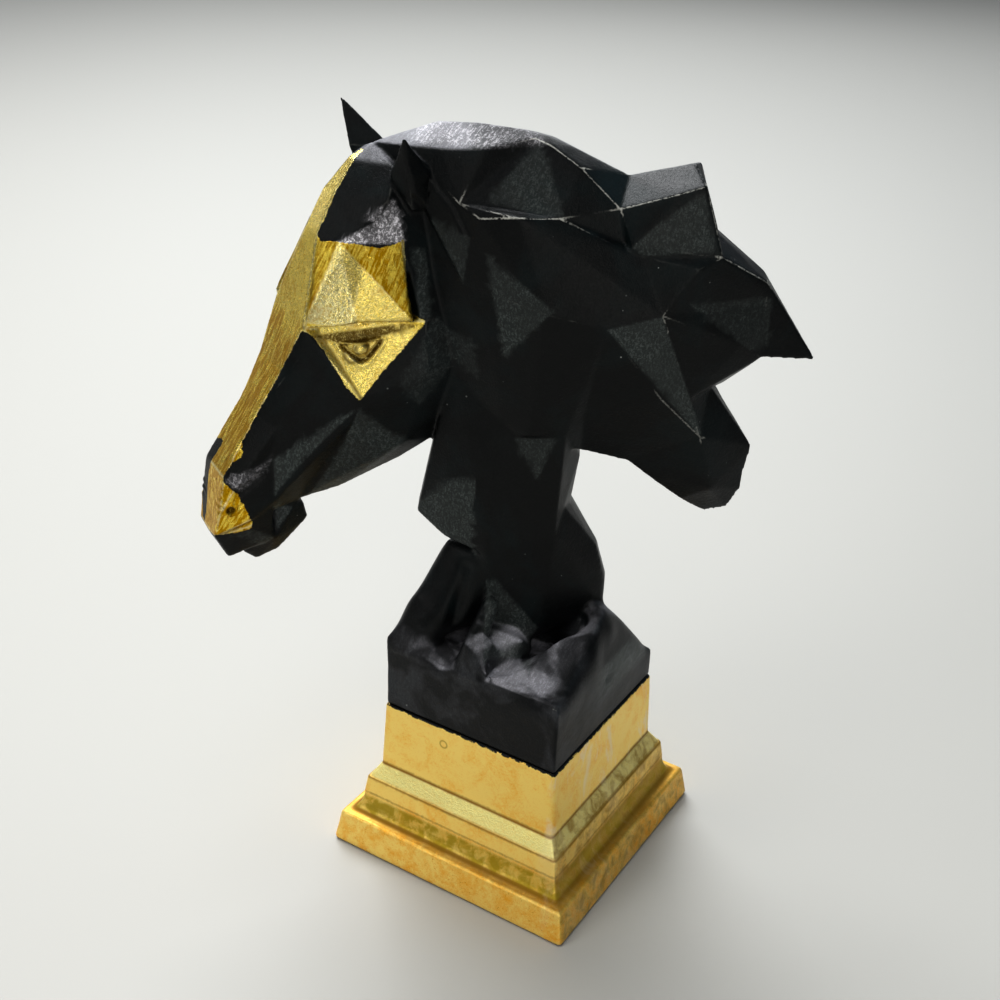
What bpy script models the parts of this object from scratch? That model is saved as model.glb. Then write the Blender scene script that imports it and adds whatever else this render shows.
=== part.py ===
"""Faceted horse head on a stepped square plinth, metres, +Z up.

The origin is the middle of the plinth's underside, and the plinth's sides face X and Y.
The horse is one casting: rock, neck, mane and head. Its neck turns away from the plinth's
-X side, and its head turns a little further, so each has a frame of its own (an empty).
A faceted form is a union of convex masses. Each mass is the hull of a few named marks on
the left side, their mirror images on the right side, and marks on the middle plane.
"""
import math

import bmesh
import bpy
from mathutils import Vector

# Plinth: a moulded square block, from the floor up
SLAB_WIDTH = 0.1165
SLAB_TOP_WIDTH = 0.1125
SLAB_HEIGHT = 0.0155
SLAB_ROUNDING = 0.0022
COVE_HEIGHT = 0.0095
COVE_WIDTH = 0.0976
BAND_HEIGHT = 0.0085
BAND_DRAFT = 0.0011
CHAMFER_HEIGHT = 0.0065
BLOCK_WIDTH = 0.0862
BLOCK_HEIGHT = 0.0315
BLOCK_DRAFT = 0.0012
CORNER_SOFTENING = 0.0012

# The casting: FIGURE_HEIGHT is from its underside to the top of the crest
FIGURE_HEIGHT = 0.2455
CASTING_CLEARANCE = 0.0003
ROCK_INSET = 0.0006
NECK_TURN = math.radians(-150)
HEAD_TURN = math.radians(30)
FACE_TILT = math.radians(63)

PLINTH_HEIGHT = SLAB_HEIGHT + COVE_HEIGHT + BAND_HEIGHT + CHAMFER_HEIGHT + BLOCK_HEIGHT
SEAT_WIDTH = BLOCK_WIDTH - 2 * BLOCK_DRAFT
# Marks on the figure are written for a casting 245.5 mm tall, and scale with it
STEP = FIGURE_HEIGHT / 245.5


def new_collection(name):
    group = bpy.data.collections.new(name)
    bpy.context.scene.collection.children.link(group)
    return group


def new_material(name, colour, metallic, roughness):
    material = bpy.data.materials.new(name)
    material.use_nodes = True
    shader = material.node_tree.nodes["Principled BSDF"]
    shader.inputs["Base Color"].default_value = (*colour, 1.0)
    shader.inputs["Metallic"].default_value = metallic
    shader.inputs["Roughness"].default_value = roughness
    return material


def new_object(name, mesh, group, parent=None):
    item = bpy.data.objects.new(name, mesh)
    item.parent = parent
    group.objects.link(item)
    return item


def hull(name, points, group, parent=None):
    """A convex mass around the points, in the frame of its parent."""
    mesh = bpy.data.meshes.new(name)
    bm = bmesh.new()
    for point in points:
        bm.verts.new(point)
    result = bmesh.ops.convex_hull(bm, input=bm.verts)
    bmesh.ops.delete(bm, geom=result["geom_interior"], context="VERTS")
    bmesh.ops.recalc_face_normals(bm, faces=bm.faces)
    bm.to_mesh(mesh)
    bm.free()
    return new_object(name, mesh, group, parent)


def mass(name, marks, group, parent):
    """The hull of marks (forward, left, up) and of their mirror images across the middle plane."""
    points = []
    for forward, left, up in marks:
        points.append(Vector((forward, left, up)) * STEP)
        if left > 0:
            points.append(Vector((forward, -left, up)) * STEP)
    return hull(name, points, group, parent)


# Marks on the head: along the face from the poll, out to the left, and up from the face line
HEAD = {
    "poll": (0, 0, 0),
    "poll side": (3.5, 14, -5),
    "forelock": (8, 2, 5),
    "upper forehead": (22, 4.5, 8),
    "lower forehead": (37, 5, 8),
    "temple": (14.5, 20, -4.5),
    "brow crown": (33, 17, 0.5),
    "brow crown rear": (31.5, 20, -3.5),
    "brow rear": (25.5, 23, -14.5),
    "bridge corner": (69, 14.5, 3),
    "brow middle": (60.5, 24, -9),
    "brow corner": (50.5, 27, -29),
    "temple rear": (26.5, 22.5, -20.5),
    "temple low": (49, 26, -33),
    "skull side": (14, 20.5, -22.5),
    "skull rear": (15.5, 17, -43.5),
    "skull rear low": (33, 18, -48.5),
    "socket front": (69.5, 13.5, -2.5),
    "socket rear": (49.5, 25.5, -36),
    "socket top front": (64, 14, -3),
    "socket top": (59, 19, -12),
    "socket foot": (85.5, 23, -26.5),
    "nose upper": (88, 10.5, 2),
    "nose middle": (107, 8.5, 3),
    "nose lower": (118, 8.5, 3.5),
    "nose end": (133.5, 10, 5.5),
    "side upper": (81, 14, -1),
    "side middle": (108, 12.5, -5.5),
    "side lower": (119.5, 11.5, -7.5),
    "band end": (135.5, 13, -17),
    "band root": (90, 22.5, -29),
    "jaw front": (135.5, 8.5, -28),
    "jaw lower": (126, 8.5, -42.5),
    "jaw middle": (106.5, 10, -62),
    "jaw corner": (95, 13, -69),
    "jaw side": (97, 19, -55),
    "throat": (89.5, 12, -73),
    "cheek middle": (68, 28, -45),
    "cheek top": (47, 25, -43),
    "cheek top rear": (56.5, 24, -64.5),
    "cheek rear": (59, 22, -72),
    "cheek lower": (75, 19, -69),
    "nostril front": (148, 10.5, 1),
    "nostril top": (136, 12.5, 0.5),
    "nostril rear": (146.5, 12, -11.5),
    "muzzle corner": (138, 12, -17),
    "lip front": (160.5, 2, -4.5),
    "lip front side": (158, 9, -2),
    "lip rear": (149.5, 11, -13),
    "lip foot": (166, 6.5, -12.5),
    "lip corner": (153, 9, -26),
    "chin front": (163, 5.5, -18),
    "chin foot": (165, 4.5, -25),
    "chin low": (158, 6, -31),
    "chin rear": (149.5, 5, -35),
    "chin heel": (143, 4, -38.5),
    "chin top": (137, 6.5, -33),
    "core upper": (60, 10, -40),
    "core lower": (110, 6, -25),
    "core brow": (60, 7, -6),
    "core mouth": (126, 4, -20),
}
EARS = {
    "tip": (-8.5, 28, 5),
    "front": (6, 18.5, -1.5),
    "outer": (14, 23, -13),
    "rear": (8, 17, -33.5),
    "inner": (0, 10, -14),
    "root": (24, 10, -20),
}
HEAD_MASSES = {
    "cranium": ("poll", "poll side", "forelock", "upper forehead", "lower forehead", "temple",
                "brow crown", "brow rear", "temple rear", "skull side", "skull rear",
                "skull rear low", "core upper"),
    "brow": ("lower forehead", "brow crown", "brow crown rear", "brow rear", "bridge corner",
             "brow middle", "brow corner"),
    "temples": ("brow rear", "temple rear", "temple low", "skull side", "skull rear",
                "skull rear low", "cheek top", "core upper"),
    "sockets": ("socket front", "socket rear", "socket top", "socket top front", "socket foot",
                "core upper"),
    "bridge": ("bridge corner", "nose upper", "side upper", "socket front", "socket foot",
               "core upper", "core brow"),
    "nose side": ("side upper", "side middle", "side lower", "socket foot", "nose upper",
                  "nose middle", "core upper", "core lower"),
    "nose": ("nose middle", "nose lower", "nose end", "side middle", "side lower", "nostril top",
             "core lower"),
    "cheek band": ("side lower", "socket foot", "band end", "band root", "jaw front", "core lower"),
    "jaw": ("jaw front", "jaw lower", "jaw middle", "jaw corner", "jaw side", "band root",
            "core lower"),
    "cheeks": ("band root", "socket foot", "socket rear", "cheek top", "cheek top rear",
               "cheek rear", "cheek lower", "throat", "jaw corner", "jaw side", "cheek middle"),
    "muzzle": ("nose end", "nostril front", "nostril top", "nostril rear", "muzzle corner",
               "band end", "side lower", "lip front", "lip front side", "jaw front"),
    "upper lip": ("lip front", "lip front side", "lip rear", "lip foot", "lip corner",
                  "muzzle corner"),
    "chin": ("chin front", "chin foot", "chin low", "chin rear", "chin heel", "chin top",
             "jaw front", "lip corner", "core mouth"),
}

EYE = (68, 18.6, -19)
EYEBALL_RADIUS = 3.9
LID_SIZE = (7.2, 3.4, 5.6)
NOSTRIL = (145.5, 12.3, -3)
NOSTRIL_SIZE = (2.2, 1.8, 1.4)

# Marks on the neck and mane: forward, out to the left, and up from the casting's underside
NECK = {
    "poll": (62, 0, 237),
    "crest 1": (52, 0, 240),
    "crest 2": (38, 0, 245.5),
    "crest 3": (24, 0, 245.5),
    "crest 4": (9.5, 0, 244),
    "crest 5": (-1.5, 0, 241.5),
    "crest 6": (-10.5, 0, 238),
    "crest 7": (-19, 0, 234),
    "crest 8": (-30, 0, 229),
    "ridge 1": (49, 10, 239),
    "ridge 2": (36.5, 12, 239),
    "ridge 3": (27.5, 13, 237.5),
    "ridge 4": (21, 12, 239.5),
    "apex": (4, 4, 242),
    "ridge 5": (-2, 6, 240),
    "ridge 6": (-12.5, 10, 234),
    "ridge 7": (-27, 14, 221),
    "ledge front": (29.5, 19, 222),
    "ledge inner": (11, 15, 224.5),
    "ledge outer": (8.5, 24, 219.5),
    "ledge outer front": (22, 22.5, 218),
    "ledge rear": (-6, 20, 218.5),
    "mane break": (-17, 18, 211.5),
    "mane hollow": (-31.5, 16, 202),
    "lock top front": (-35, 15, 222.5),
    "lock top": (-47, 15, 227.5),
    "lock top rear": (-56.5, 14, 230.5),
    "lock crown": (-53, 0, 234.5),
    "lock side": (-41, 17, 218.5),
    "lock foot front": (-32, 19, 209),
    "lock foot": (-36, 18, 205),
    "lock foot rear": (-64.5, 16, 205.5),
    "lock edge": (-61.5, 15, 216),
    "fork top": (-63.5, 0, 209),
    "wing top": (-83, 6, 193),
    "wing side": (-56, 20, 202),
    "wing crease": (-53.5, 15, 187),
    "wing crease rear": (-87, 4.5, 186),
    "wing tip": (-105.5, 0, 160.5),
    "wing foot": (-83.5, 8, 164),
    "wing belly": (-75, 13, 171),
    "wing low": (-71, 4, 151),
    "notch": (-66, 6, 151),
    "wing root": (-44.5, 23, 185),
    "tail root": (-25, 26, 180),
    "tail ridge": (-47, 20, 150.5),
    "tail crease": (-58, 16, 149.5),
    "tail point": (-63.5, 13.5, 132.5),
    "tail side": (-70.5, 9, 108),
    "tail 1": (-85.5, 0, 123),
    "tail 2": (-83.5, 0, 104),
    "tail 3": (-79, 0, 95),
    "tail 4": (-70, 0, 92.5),
    "tail 5": (-59, 5, 100.5),
    "tail 6": (-45.5, 8, 112),
    "tail 7": (-37, 9, 118.5),
    "tail 8": (-19, 10, 122.5),
    "tail inner": (-19, 16, 139.5),
    "tail inner top": (-23.5, 20, 165),
    "side front": (14.5, 22, 198),
    "side middle": (-3, 27, 185),
    "side low": (15, 20, 163.5),
    "side skull": (27.5, 18, 192),
    "gullet": (40, 12, 190),
    "gullet low": (38, 9, 165),
    "shawl front": (7, 16.5, 130.5),
    "shawl middle": (1.5, 19, 132.5),
    "shawl rear": (-12.5, 16.5, 132),
    "throat": (32.5, 7, 124),
    "throat top": (30, 12, 165),
    "throat side": (12.5, 17, 137),
    "chest front": (45, 5, 89),
    "chest low": (33, 12, 81.5),
    "chest side": (17, 18, 76.5),
    "foot front": (16, 17, 66.5),
    "foot corner": (15.5, 15, 45.5),
    "foot point": (0.5, 12, 31.5),
    "foot side": (-6.5, 14, 40),
    "nape 1": (-19, 3, 117),
    "nape 2": (-14.5, 3, 110.5),
    "nape 3": (-16, 3, 95),
    "nape 4": (-28, 3, 75.5),
    "nape 5": (-32.5, 3, 60),
    "nape 6": (-32.5, 3, 43),
    "neck side": (-4, 15.5, 112),
    "neck side low": (-10.5, 16, 87.5),
    "core mane": (-34, 8, 200),
    "core neck": (10, 5, 200),
}
NECK_MASSES = {
    "crest": ("poll", "crest 1", "crest 2", "crest 3", "crest 4", "ridge 1", "ridge 2", "ridge 3",
              "ridge 4", "apex", "ledge front", "side skull", "gullet"),
    "crest side": ("apex", "crest 4", "crest 5", "ledge front", "ledge inner", "ledge rear",
                   "ridge 5", "ridge 7", "mane break"),
    "crest rear": ("apex", "crest 5", "crest 6", "crest 7", "crest 8", "ridge 5", "ridge 6",
                   "ridge 7", "ledge rear", "mane break", "mane hollow"),
    "neck top": ("ledge front", "ledge outer", "ledge outer front", "ledge rear", "mane break",
                 "mane hollow", "side front", "side middle", "tail root", "side skull",
                 "lock foot", "wing root"),
    "shawl": ("side front", "side middle", "side low", "shawl front", "shawl middle",
              "shawl rear", "tail inner", "tail inner top", "tail root", "tail 8", "throat side"),
    "gullet": ("side skull", "side front", "side low", "throat top", "throat", "throat side",
               "gullet", "gullet low"),
    "column": ("throat", "throat top", "throat side", "shawl front", "shawl rear", "chest front",
               "chest low", "chest side", "neck side", "neck side low", "nape 1", "nape 2",
               "nape 3"),
    "foot": ("chest side", "foot front", "foot corner", "foot point", "foot side",
             "neck side low", "neck side", "nape 3", "nape 4", "nape 5", "nape 6"),
    "upper lock": ("crest 8", "lock crown", "ridge 7", "lock top front", "lock top",
                   "lock top rear", "lock side", "lock foot front", "lock foot",
                   "lock foot rear", "lock edge", "mane hollow"),
    "wing top": ("fork top", "lock foot rear", "wing top", "wing side", "wing crease",
                 "wing crease rear", "lock foot", "wing root"),
    "wing belly": ("wing crease", "wing crease rear", "wing root", "wing belly", "wing foot",
                   "wing low", "notch", "tail crease"),
    "wing end": ("wing crease rear", "wing foot", "wing tip", "wing top"),
    "tail": ("tail root", "wing root", "tail ridge", "tail crease", "tail point", "notch",
             "tail inner", "tail inner top", "tail 7", "tail 8", "core mane"),
    "tail end": ("tail point", "notch", "tail side", "tail 1", "tail 2", "tail 3", "tail 4",
                 "tail 5", "tail 6", "tail 7"),
}

# The head is turned to its left, so on its right two masses close the gap behind the cheek.
# Each takes marks of the head and marks of the neck, all on the right side, and its corners
# are sunk into the masses that it joins, by FILL_SINKING of the way to their cores.
FILL_SINKING = 0.06
RIGHT_FILLS = {
    "right nape": (("poll side", "skull side", "skull rear", "skull rear low", "core upper"),
                   ("ridge 1", "ridge 2", "ledge front", "side skull", "gullet", "core neck")),
    "right throatlatch": (("skull rear low", "cheek top rear", "cheek rear", "cheek lower",
                           "core upper"),
                          ("side skull", "side low", "gullet", "gullet low", "throat top",
                           "core neck")),
}

# Marks on the rock: x and y in half widths of the plinth's top, and up from the underside
ROCK_MASSES = {
    "rock block": ((-1, -1, 0), (1, -1, 0), (1, 1, 0), (-1, 1, 0), (-1, -1, 33), (-0.5, -1, 30),
                   (0.2, -1, 30), (1, -1, 28), (1, 0.1, 20), (1, 1, 12), (-1, 1, 24)),
    "rock mound": ((-0.65, -0.5, 76.5), (-0.15, -0.56, 76), (-0.2, 0, 76), (-0.6, 0.1, 72),
                   (-0.75, -0.62, 62), (-0.75, -0.64, 57), (-0.9, -0.85, 42), (-0.62, -0.85, 35),
                   (-0.35, -0.72, 42), (-0.18, -0.52, 52), (-1, -0.2, 40), (-1, -1, 33.5),
                   (-0.2, 0.3, 30), (-0.8, 0.5, 28)),
    "rock pillar": ((-0.15, -0.93, 43), (0.17, -1, 34.5), (0.02, -0.8, 47), (-0.2, -0.66, 49),
                    (0.15, -0.72, 40), (0.1, -1, 20), (-0.3, -0.98, 20), (-0.2, -0.3, 30)),
    "rock step": ((-0.13, -0.6, 45.5), (0.33, -0.5, 41.5), (0.24, -0.62, 37.5), (0.05, -0.68, 39),
                  (0.3, -0.2, 30), (-0.2, -0.2, 40), (0.2, -0.8, 20), (-0.2, -0.8, 20)),
    "rock slab": ((0.2, -1, 34.5), (1, -1, 28.5), (1, -0.22, 36), (0.92, 0, 41), (0.86, 0, 49),
                  (0.66, -0.4, 42.5), (0.45, -0.56, 33), (0.2, -1, 10), (1, -1, 10),
                  (1, -0.05, 10), (0.3, 0, 20)),
    "rock ridge": ((0.86, 0, 49), (0.8, 0.2, 51), (0.85, 0.4, 44.5), (0.94, 0.6, 32),
                   (1, 0.85, 18.5), (1, 1, 13), (1, 0.5, 15.5), (1, 0.1, 20), (1, -0.1, 28),
                   (0.3, 0.3, 44), (0.2, 0.6, 30), (0.3, 0.9, 18), (0.3, 0, 10)),
    "rock rear": ((0.8, 0.2, 50), (0.85, 0.4, 44), (0.2, 0.45, 46), (-0.4, 0.3, 56),
                  (-0.85, 0.6, 34), (-1, 1, 24), (0.9, 0.95, 14), (-1, -0.2, 38), (0, 0, 20)),
}


def build_plinth(group):
    """The square profile, turned in four steps: each step is one side of the plinth."""
    levels = [
        (SLAB_WIDTH, 0.0),
        (SLAB_TOP_WIDTH, SLAB_HEIGHT),
    ]
    cove_steps = 5
    cove_start = SLAB_TOP_WIDTH - 2 * SLAB_ROUNDING
    for i in range(cove_steps + 1):
        turn = math.pi / 2 * i / cove_steps
        width = COVE_WIDTH + (cove_start - COVE_WIDTH) * (1 - math.sin(turn))
        levels.append((width, SLAB_HEIGHT + COVE_HEIGHT * (1 - math.cos(turn))))
    band_top = SLAB_HEIGHT + COVE_HEIGHT + BAND_HEIGHT
    levels.append((COVE_WIDTH - 2 * BAND_DRAFT, band_top))
    levels.append((BLOCK_WIDTH, band_top + CHAMFER_HEIGHT))
    levels.append((SEAT_WIDTH, PLINTH_HEIGHT))
    profile = [(0.0, PLINTH_HEIGHT)]
    for width, height in reversed(levels):
        profile.append((width / 2 * math.sqrt(2), height))
    profile.append((0.0, 0.0))
    mesh = bpy.data.meshes.new("plinth")
    mesh.from_pydata([(x, 0.0, z) for x, z in profile], [(i, i + 1) for i in range(len(profile) - 1)], [])
    plinth = new_object("plinth", mesh, group)
    plinth.rotation_euler.z = math.radians(45)
    turn = plinth.modifiers.new("four sides", "SCREW")
    turn.steps = 4
    turn.render_steps = 4
    turn.use_merge_vertices = True
    turn.merge_threshold = 0.00001
    turn.use_smooth_shade = False
    soften = plinth.modifiers.new("worn corners", "BEVEL")
    soften.width = CORNER_SOFTENING
    soften.segments = 2
    soften.limit_method = "ANGLE"
    soften.angle_limit = math.radians(50)
    return plinth


def build_rock(group):
    """The ground under the neck: a block on the plinth's top that rises in slabs to the neck."""
    half = SEAT_WIDTH / 2 - ROCK_INSET
    base = PLINTH_HEIGHT + CASTING_CLEARANCE
    rock = []
    for name, marks in ROCK_MASSES.items():
        points = [Vector((x * half, y * half, base + up * STEP)) for x, y, up in marks]
        rock.append(hull(name, points, group))
    return rock


def ellipsoid(name, centre, size, group, parent):
    """A squashed ball, in the frame of its parent."""
    mesh = bpy.data.meshes.new(name)
    bm = bmesh.new()
    bmesh.ops.create_uvsphere(bm, u_segments=16, v_segments=10, radius=STEP)
    for vert in bm.verts:
        vert.co = Vector((vert.co.x * size[0], vert.co.y * size[1], vert.co.z * size[2]))
        vert.co += Vector(centre) * STEP
    bm.to_mesh(mesh)
    bm.free()
    return new_object(name, mesh, group, parent)


def on_side(mark, side):
    """A mark on the left side (1) or its mirror image on the right side (-1)."""
    return (mark[0], mark[1] * side, mark[2])


def build_horse(group, cutters):
    base = PLINTH_HEIGHT + CASTING_CLEARANCE
    neck = new_object("neck frame", None, cutters)
    neck.location.z = base
    neck.rotation_euler.z = NECK_TURN
    head = new_object("head frame", None, cutters, neck)
    head.location = Vector(NECK["poll"]) * STEP
    head.rotation_euler = (0.0, FACE_TILT, HEAD_TURN)
    masses = build_rock(cutters)
    for name, corners in NECK_MASSES.items():
        masses.append(mass(name, [NECK[corner] for corner in corners], cutters, neck))
    for name, corners in HEAD_MASSES.items():
        masses.append(mass(name, [HEAD[corner] for corner in corners], cutters, head))
    pits = new_collection("pits")
    for name, side in (("left", 1), ("right", -1)):
        points = [Vector(on_side(mark, side)) * STEP for mark in EARS.values()]
        masses.append(hull(name + " ear", points, cutters, head))
        eye = on_side(EYE, side)
        masses.append(ellipsoid(name + " eyelids", eye, LID_SIZE, cutters, head))
        ball = (EYEBALL_RADIUS, EYEBALL_RADIUS, EYEBALL_RADIUS)
        masses.append(ellipsoid(name + " eyeball", eye, ball, cutters, head))
        pit = ellipsoid(name + " nostril", on_side(NOSTRIL, side), NOSTRIL_SIZE, pits, head)
        pit.display_type = "WIRE"
        pit.hide_render = True
    bpy.context.view_layer.update()
    for name, (head_marks, neck_marks) in RIGHT_FILLS.items():
        points = []
        for frame, marks, chosen, core in ((head, HEAD, head_marks, HEAD["core upper"]),
                                           (neck, NECK, neck_marks, NECK["core neck"])):
            for mark in chosen:
                corner = Vector(on_side(marks[mark], -1)).lerp(Vector(on_side(core, -1)), FILL_SINKING)
                points.append(frame.matrix_world @ (corner * STEP))
        masses.append(hull(name, points, cutters))
    joined = new_collection("joined masses")
    for item in masses:
        item.display_type = "WIRE"
        item.hide_render = True
    horse = new_object("horse_head", masses[0].data.copy(), group)
    horse.data.name = "horse_head"
    for item in masses[1:]:
        joined.objects.link(item)
    join = horse.modifiers.new("one casting", "BOOLEAN")
    join.operation = "UNION"
    join.operand_type = "COLLECTION"
    join.collection = joined
    carve = horse.modifiers.new("nostrils", "BOOLEAN")
    carve.operation = "DIFFERENCE"
    carve.operand_type = "COLLECTION"
    carve.collection = pits
    return horse


def main():
    for item in list(bpy.data.objects):
        bpy.data.objects.remove(item, do_unlink=True)
    group = new_collection("horse head sculpture")
    cutters = new_collection("masses and cutters")
    plinth = build_plinth(group)
    plinth.data.materials.append(new_material("gold leaf", (0.78, 0.52, 0.18), 0.9, 0.35))
    horse = build_horse(group, cutters)
    horse.data.materials.append(new_material("black lacquer", (0.012, 0.012, 0.013), 0.0, 0.4))


main()
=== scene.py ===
"""Looks of a faceted horse head on a stepped plinth: worn black lacquer and antique gold leaf.

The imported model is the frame. Two pieces stand for its two nodes: the casting, whose facets get
softened edges, hand-worked relief, eyes and nostrils, and the plinth, a moulded square block.
Run as a script, it builds both pieces, their paint, the lights, the floor and the camera.
"""
import math

import bmesh
import bpy
import numpy as np
from mathutils import Matrix, Vector


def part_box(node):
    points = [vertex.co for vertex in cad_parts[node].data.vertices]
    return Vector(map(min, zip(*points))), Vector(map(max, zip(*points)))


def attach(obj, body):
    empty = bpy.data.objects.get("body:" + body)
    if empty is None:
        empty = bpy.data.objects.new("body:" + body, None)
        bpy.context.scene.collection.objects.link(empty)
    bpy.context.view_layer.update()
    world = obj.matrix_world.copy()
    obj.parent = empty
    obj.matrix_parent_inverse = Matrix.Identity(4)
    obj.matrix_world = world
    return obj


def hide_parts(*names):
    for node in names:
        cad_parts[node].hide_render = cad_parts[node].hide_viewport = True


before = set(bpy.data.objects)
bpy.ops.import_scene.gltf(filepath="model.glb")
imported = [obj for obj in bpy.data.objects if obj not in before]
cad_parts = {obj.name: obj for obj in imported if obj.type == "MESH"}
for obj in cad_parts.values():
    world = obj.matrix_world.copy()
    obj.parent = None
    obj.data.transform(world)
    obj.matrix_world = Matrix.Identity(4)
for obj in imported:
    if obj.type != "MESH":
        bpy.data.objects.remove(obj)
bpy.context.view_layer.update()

bl_info = {
    "name": "Horse head sculpture",
    "version": (1, 0, 0),
    "blender": (4, 5, 0),
    "location": "3D View > Sidebar > Sculpture",
    "description": "A faceted horse head in black lacquer and gold leaf on a stepped gold plinth",
    "category": "Object",
}

MM = 0.001
CASTING_BASE = float(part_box("horse_head")[0][2])
PLINTH_TOP = float(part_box("plinth")[1][2])
# Frames of the neck (forward, left and up) and of the head (along the face, to its left, and out
# of the face), placed as the solids were modelled
NECK_TURN = math.radians(-150)
HEAD_TURN = math.radians(30)
FACE_TILT = math.radians(63)
POLL = Vector((0.062, 0.0, 0.237))
NECK_FRAME = Matrix.Translation((0.0, 0.0, CASTING_BASE)) @ Matrix.Rotation(NECK_TURN, 4, "Z")
HEAD_FRAME = (NECK_FRAME @ Matrix.Translation(POLL) @ Matrix.Rotation(HEAD_TURN, 4, "Z")
              @ Matrix.Rotation(FACE_TILT, 4, "Y"))
# Distances around the head are measured on a drum of this radius under the face line
DRUM = 25.0
# The face's marks stop at this height in the head's frame, in mm, where the jaw's underside begins
FACE_FLOOR = -42
# Sharp edges are looked for up to this far from a point, in metres
CREASE_REACH = 0.008
# The surface is made finer up to this far from the eyes and nostrils, in metres
CARVING_REACH = 0.012

# The leaf's outline on the head: mm along the face, and mm around it from the middle line
LEAF_OUTLINE = (
    (3.5, -9), (3.8, 0.9), (8, 1.8), (16, 2.9), (22.7, 3.7), (31, 4), (37.2, 3.8), (38.6, 6),
    (36.2, 9.8), (34.6, 13.6), (33, 16.6), (32, 20), (30.8, 23), (28.4, 26), (25.0, 28.9),
    (50.3, 43.3), (49.2, 49.8), (63.7, 46.6), (74.5, 43.6), (86.2, 40.8), (83.2, 32.6),
    (76.4, 22.6), (70.2, 14.2), (69.9, 12), (82.6, 9.9), (95.6, 8.6), (107, 7.5), (118, 7.5),
    (121.2, 8.4), (122.4, 9.6), (126, 8.4), (131, 7.4), (135, 7.6), (136.4, 10.6),
    (140.7, 13.6), (144.2, 16.2), (147.6, 18.2), (150.4, 19.2), (154.6, 12.5), (157.6, 8.2),
    (159.2, 2), (159.5, -9),
)
# A bare place on the right of the muzzle, where the black shows through
BARE_OUTLINE = ((123, -2.6), (126, -9), (133, -11), (141, -9.4), (150, -8.6), (157, -6.4),
                (157.5, -3.4), (147, -3.6), (138, -4.4), (131, -2.8))
# Worn edges on the neck and mane, painted pale also as the ridges' highlight, in its frame:
# forward, left and up, in mm, and strength
WORN_AND_LIT_EDGES = (
    (((4, 4, 242), (22, 11, 226), (29.5, 19, 222)), 0.7),
    (((4, 4, 242), (-2, 6, 240), (-12.5, 10, 234), (-27, 14, 221)), 1.0),
    (((22, 22.5, 218), (8.5, 24, 219.5), (-6, 20, 218.5)), 1.0),
    (((-6, 20, 218.5), (-17, 18, 211.5), (-31.5, 16, 202)), 0.45),
    (((-27, 14, 221), (-35, 15, 222.5), (-47, 15, 227.5), (-56.5, 14, 230.5)), 0.9),
    (((-56.5, 14, 230.5), (-61.5, 15, 216), (-64.5, 16, 205.5)), 0.8),
    (((-64.5, 16, 205.5), (-83, 6, 193)), 0.9),
    (((-44.5, 23, 185), (-47, 20, 150.5), (-63.5, 13.5, 132.5)), 0.55),
)
# The near ear's fold where it lies on the neck, by the neck frame's forward and up
EAR_FOLD = ((50, 246), (42.4, 235.5), (36.4, 226.5), (30.5, 220.7), (25.3, 210.5), (27.6, 192.2),
            (39.5, 213), (47, 225))
# The eye on the left of the head: the middle of the line between its corners, the way from the
# front corner to the rear one, and the way down its cheek
EYE_MIDDLE = (65.95, 20.1, -18.15)
EYE_ACROSS = (-0.498, 0.298, -0.814)
EYE_DOWN = (0.866, 0.225, -0.446)
# The hollow between the upper lid and the brow, with its shade painted in brown, outlined as the
# leaf is
LID_SHADE = ((70.8, 15.2), (69.6, 21.8), (67.9, 26.2), (65.8, 30.7), (63.8, 34.9), (60.9, 38.4),
              (55.8, 45), (50.8, 49.5), (53.6, 43.5), (61.2, 29), (65.6, 20.7), (69.4, 15))
NOSTRIL = (145.2, 12.2, -2.2)
# The brow's cut: its corners, mm along the face and around it, with how far each stands out
BROW_CORNERS = {
    "inner top": (38.0, 4.5, 0.0), "top": (35.0, 11.5, 0.9), "outer top": (26.0, 29.0, 0.0),
    "inner foot": (66.5, 12.5, 1.2), "foot": (60.5, 27.5, -1.3), "outer foot": (50.8, 43.0, 1.4),
}
BROW_FACETS = (("inner top", "top", "inner foot"), ("top", "foot", "inner foot"),
               ("top", "outer foot", "foot"), ("top", "outer top", "outer foot"))
# Places on the head with a painted highlight, a pale glint on the black, with how strongly
GLINT_PATCHES = (
    (((13.6, 20.6), (25.6, 29.6), (31, 19.5), (36.4, 10.6), (24.5, 18.2)), 1.0),
    (((134.4, 8.4), (120.6, 16.0), (127, 15.2), (136.2, 12.2)), 0.4),
    (((20.5, 16.8), (17.0, 18.6), (22.5, 19.6), (24.5, 15.4)), 0.6),
)
# Painted highlight on the crown between the ears and the mane's first lock, in the neck's frame
CROWN_GLINT = ((40, 4, 242), (30, 6, 242), (20, 6, 242), (8, 5, 242))
# Facets painted a little paler than the rest, a painted highlight where they catch the light:
# on the head by mm along the face and around it
HEAD_LIT_FACETS = (
    (((121.1, 16.4), (90.4, 41.4), (134.8, 23.7)), 1.0),
    (((136.5, 56.0), (89.4, 41.9), (96.4, 63.8), (128, 74)), 0.85),
    (((49.3, 51), (46.5, 52.6), (50.1, 57.5), (58.3, 60), (81, 60), (75.3, 50.4)), 0.4),
    (((155, 12.5), (150.8, 18.9), (152.9, 40.7), (157.6, 32.4)), 0.6),
    (((139.2, 25.4), (139.3, 47.9), (149.3, 40.5)), 1.2),
)
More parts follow.
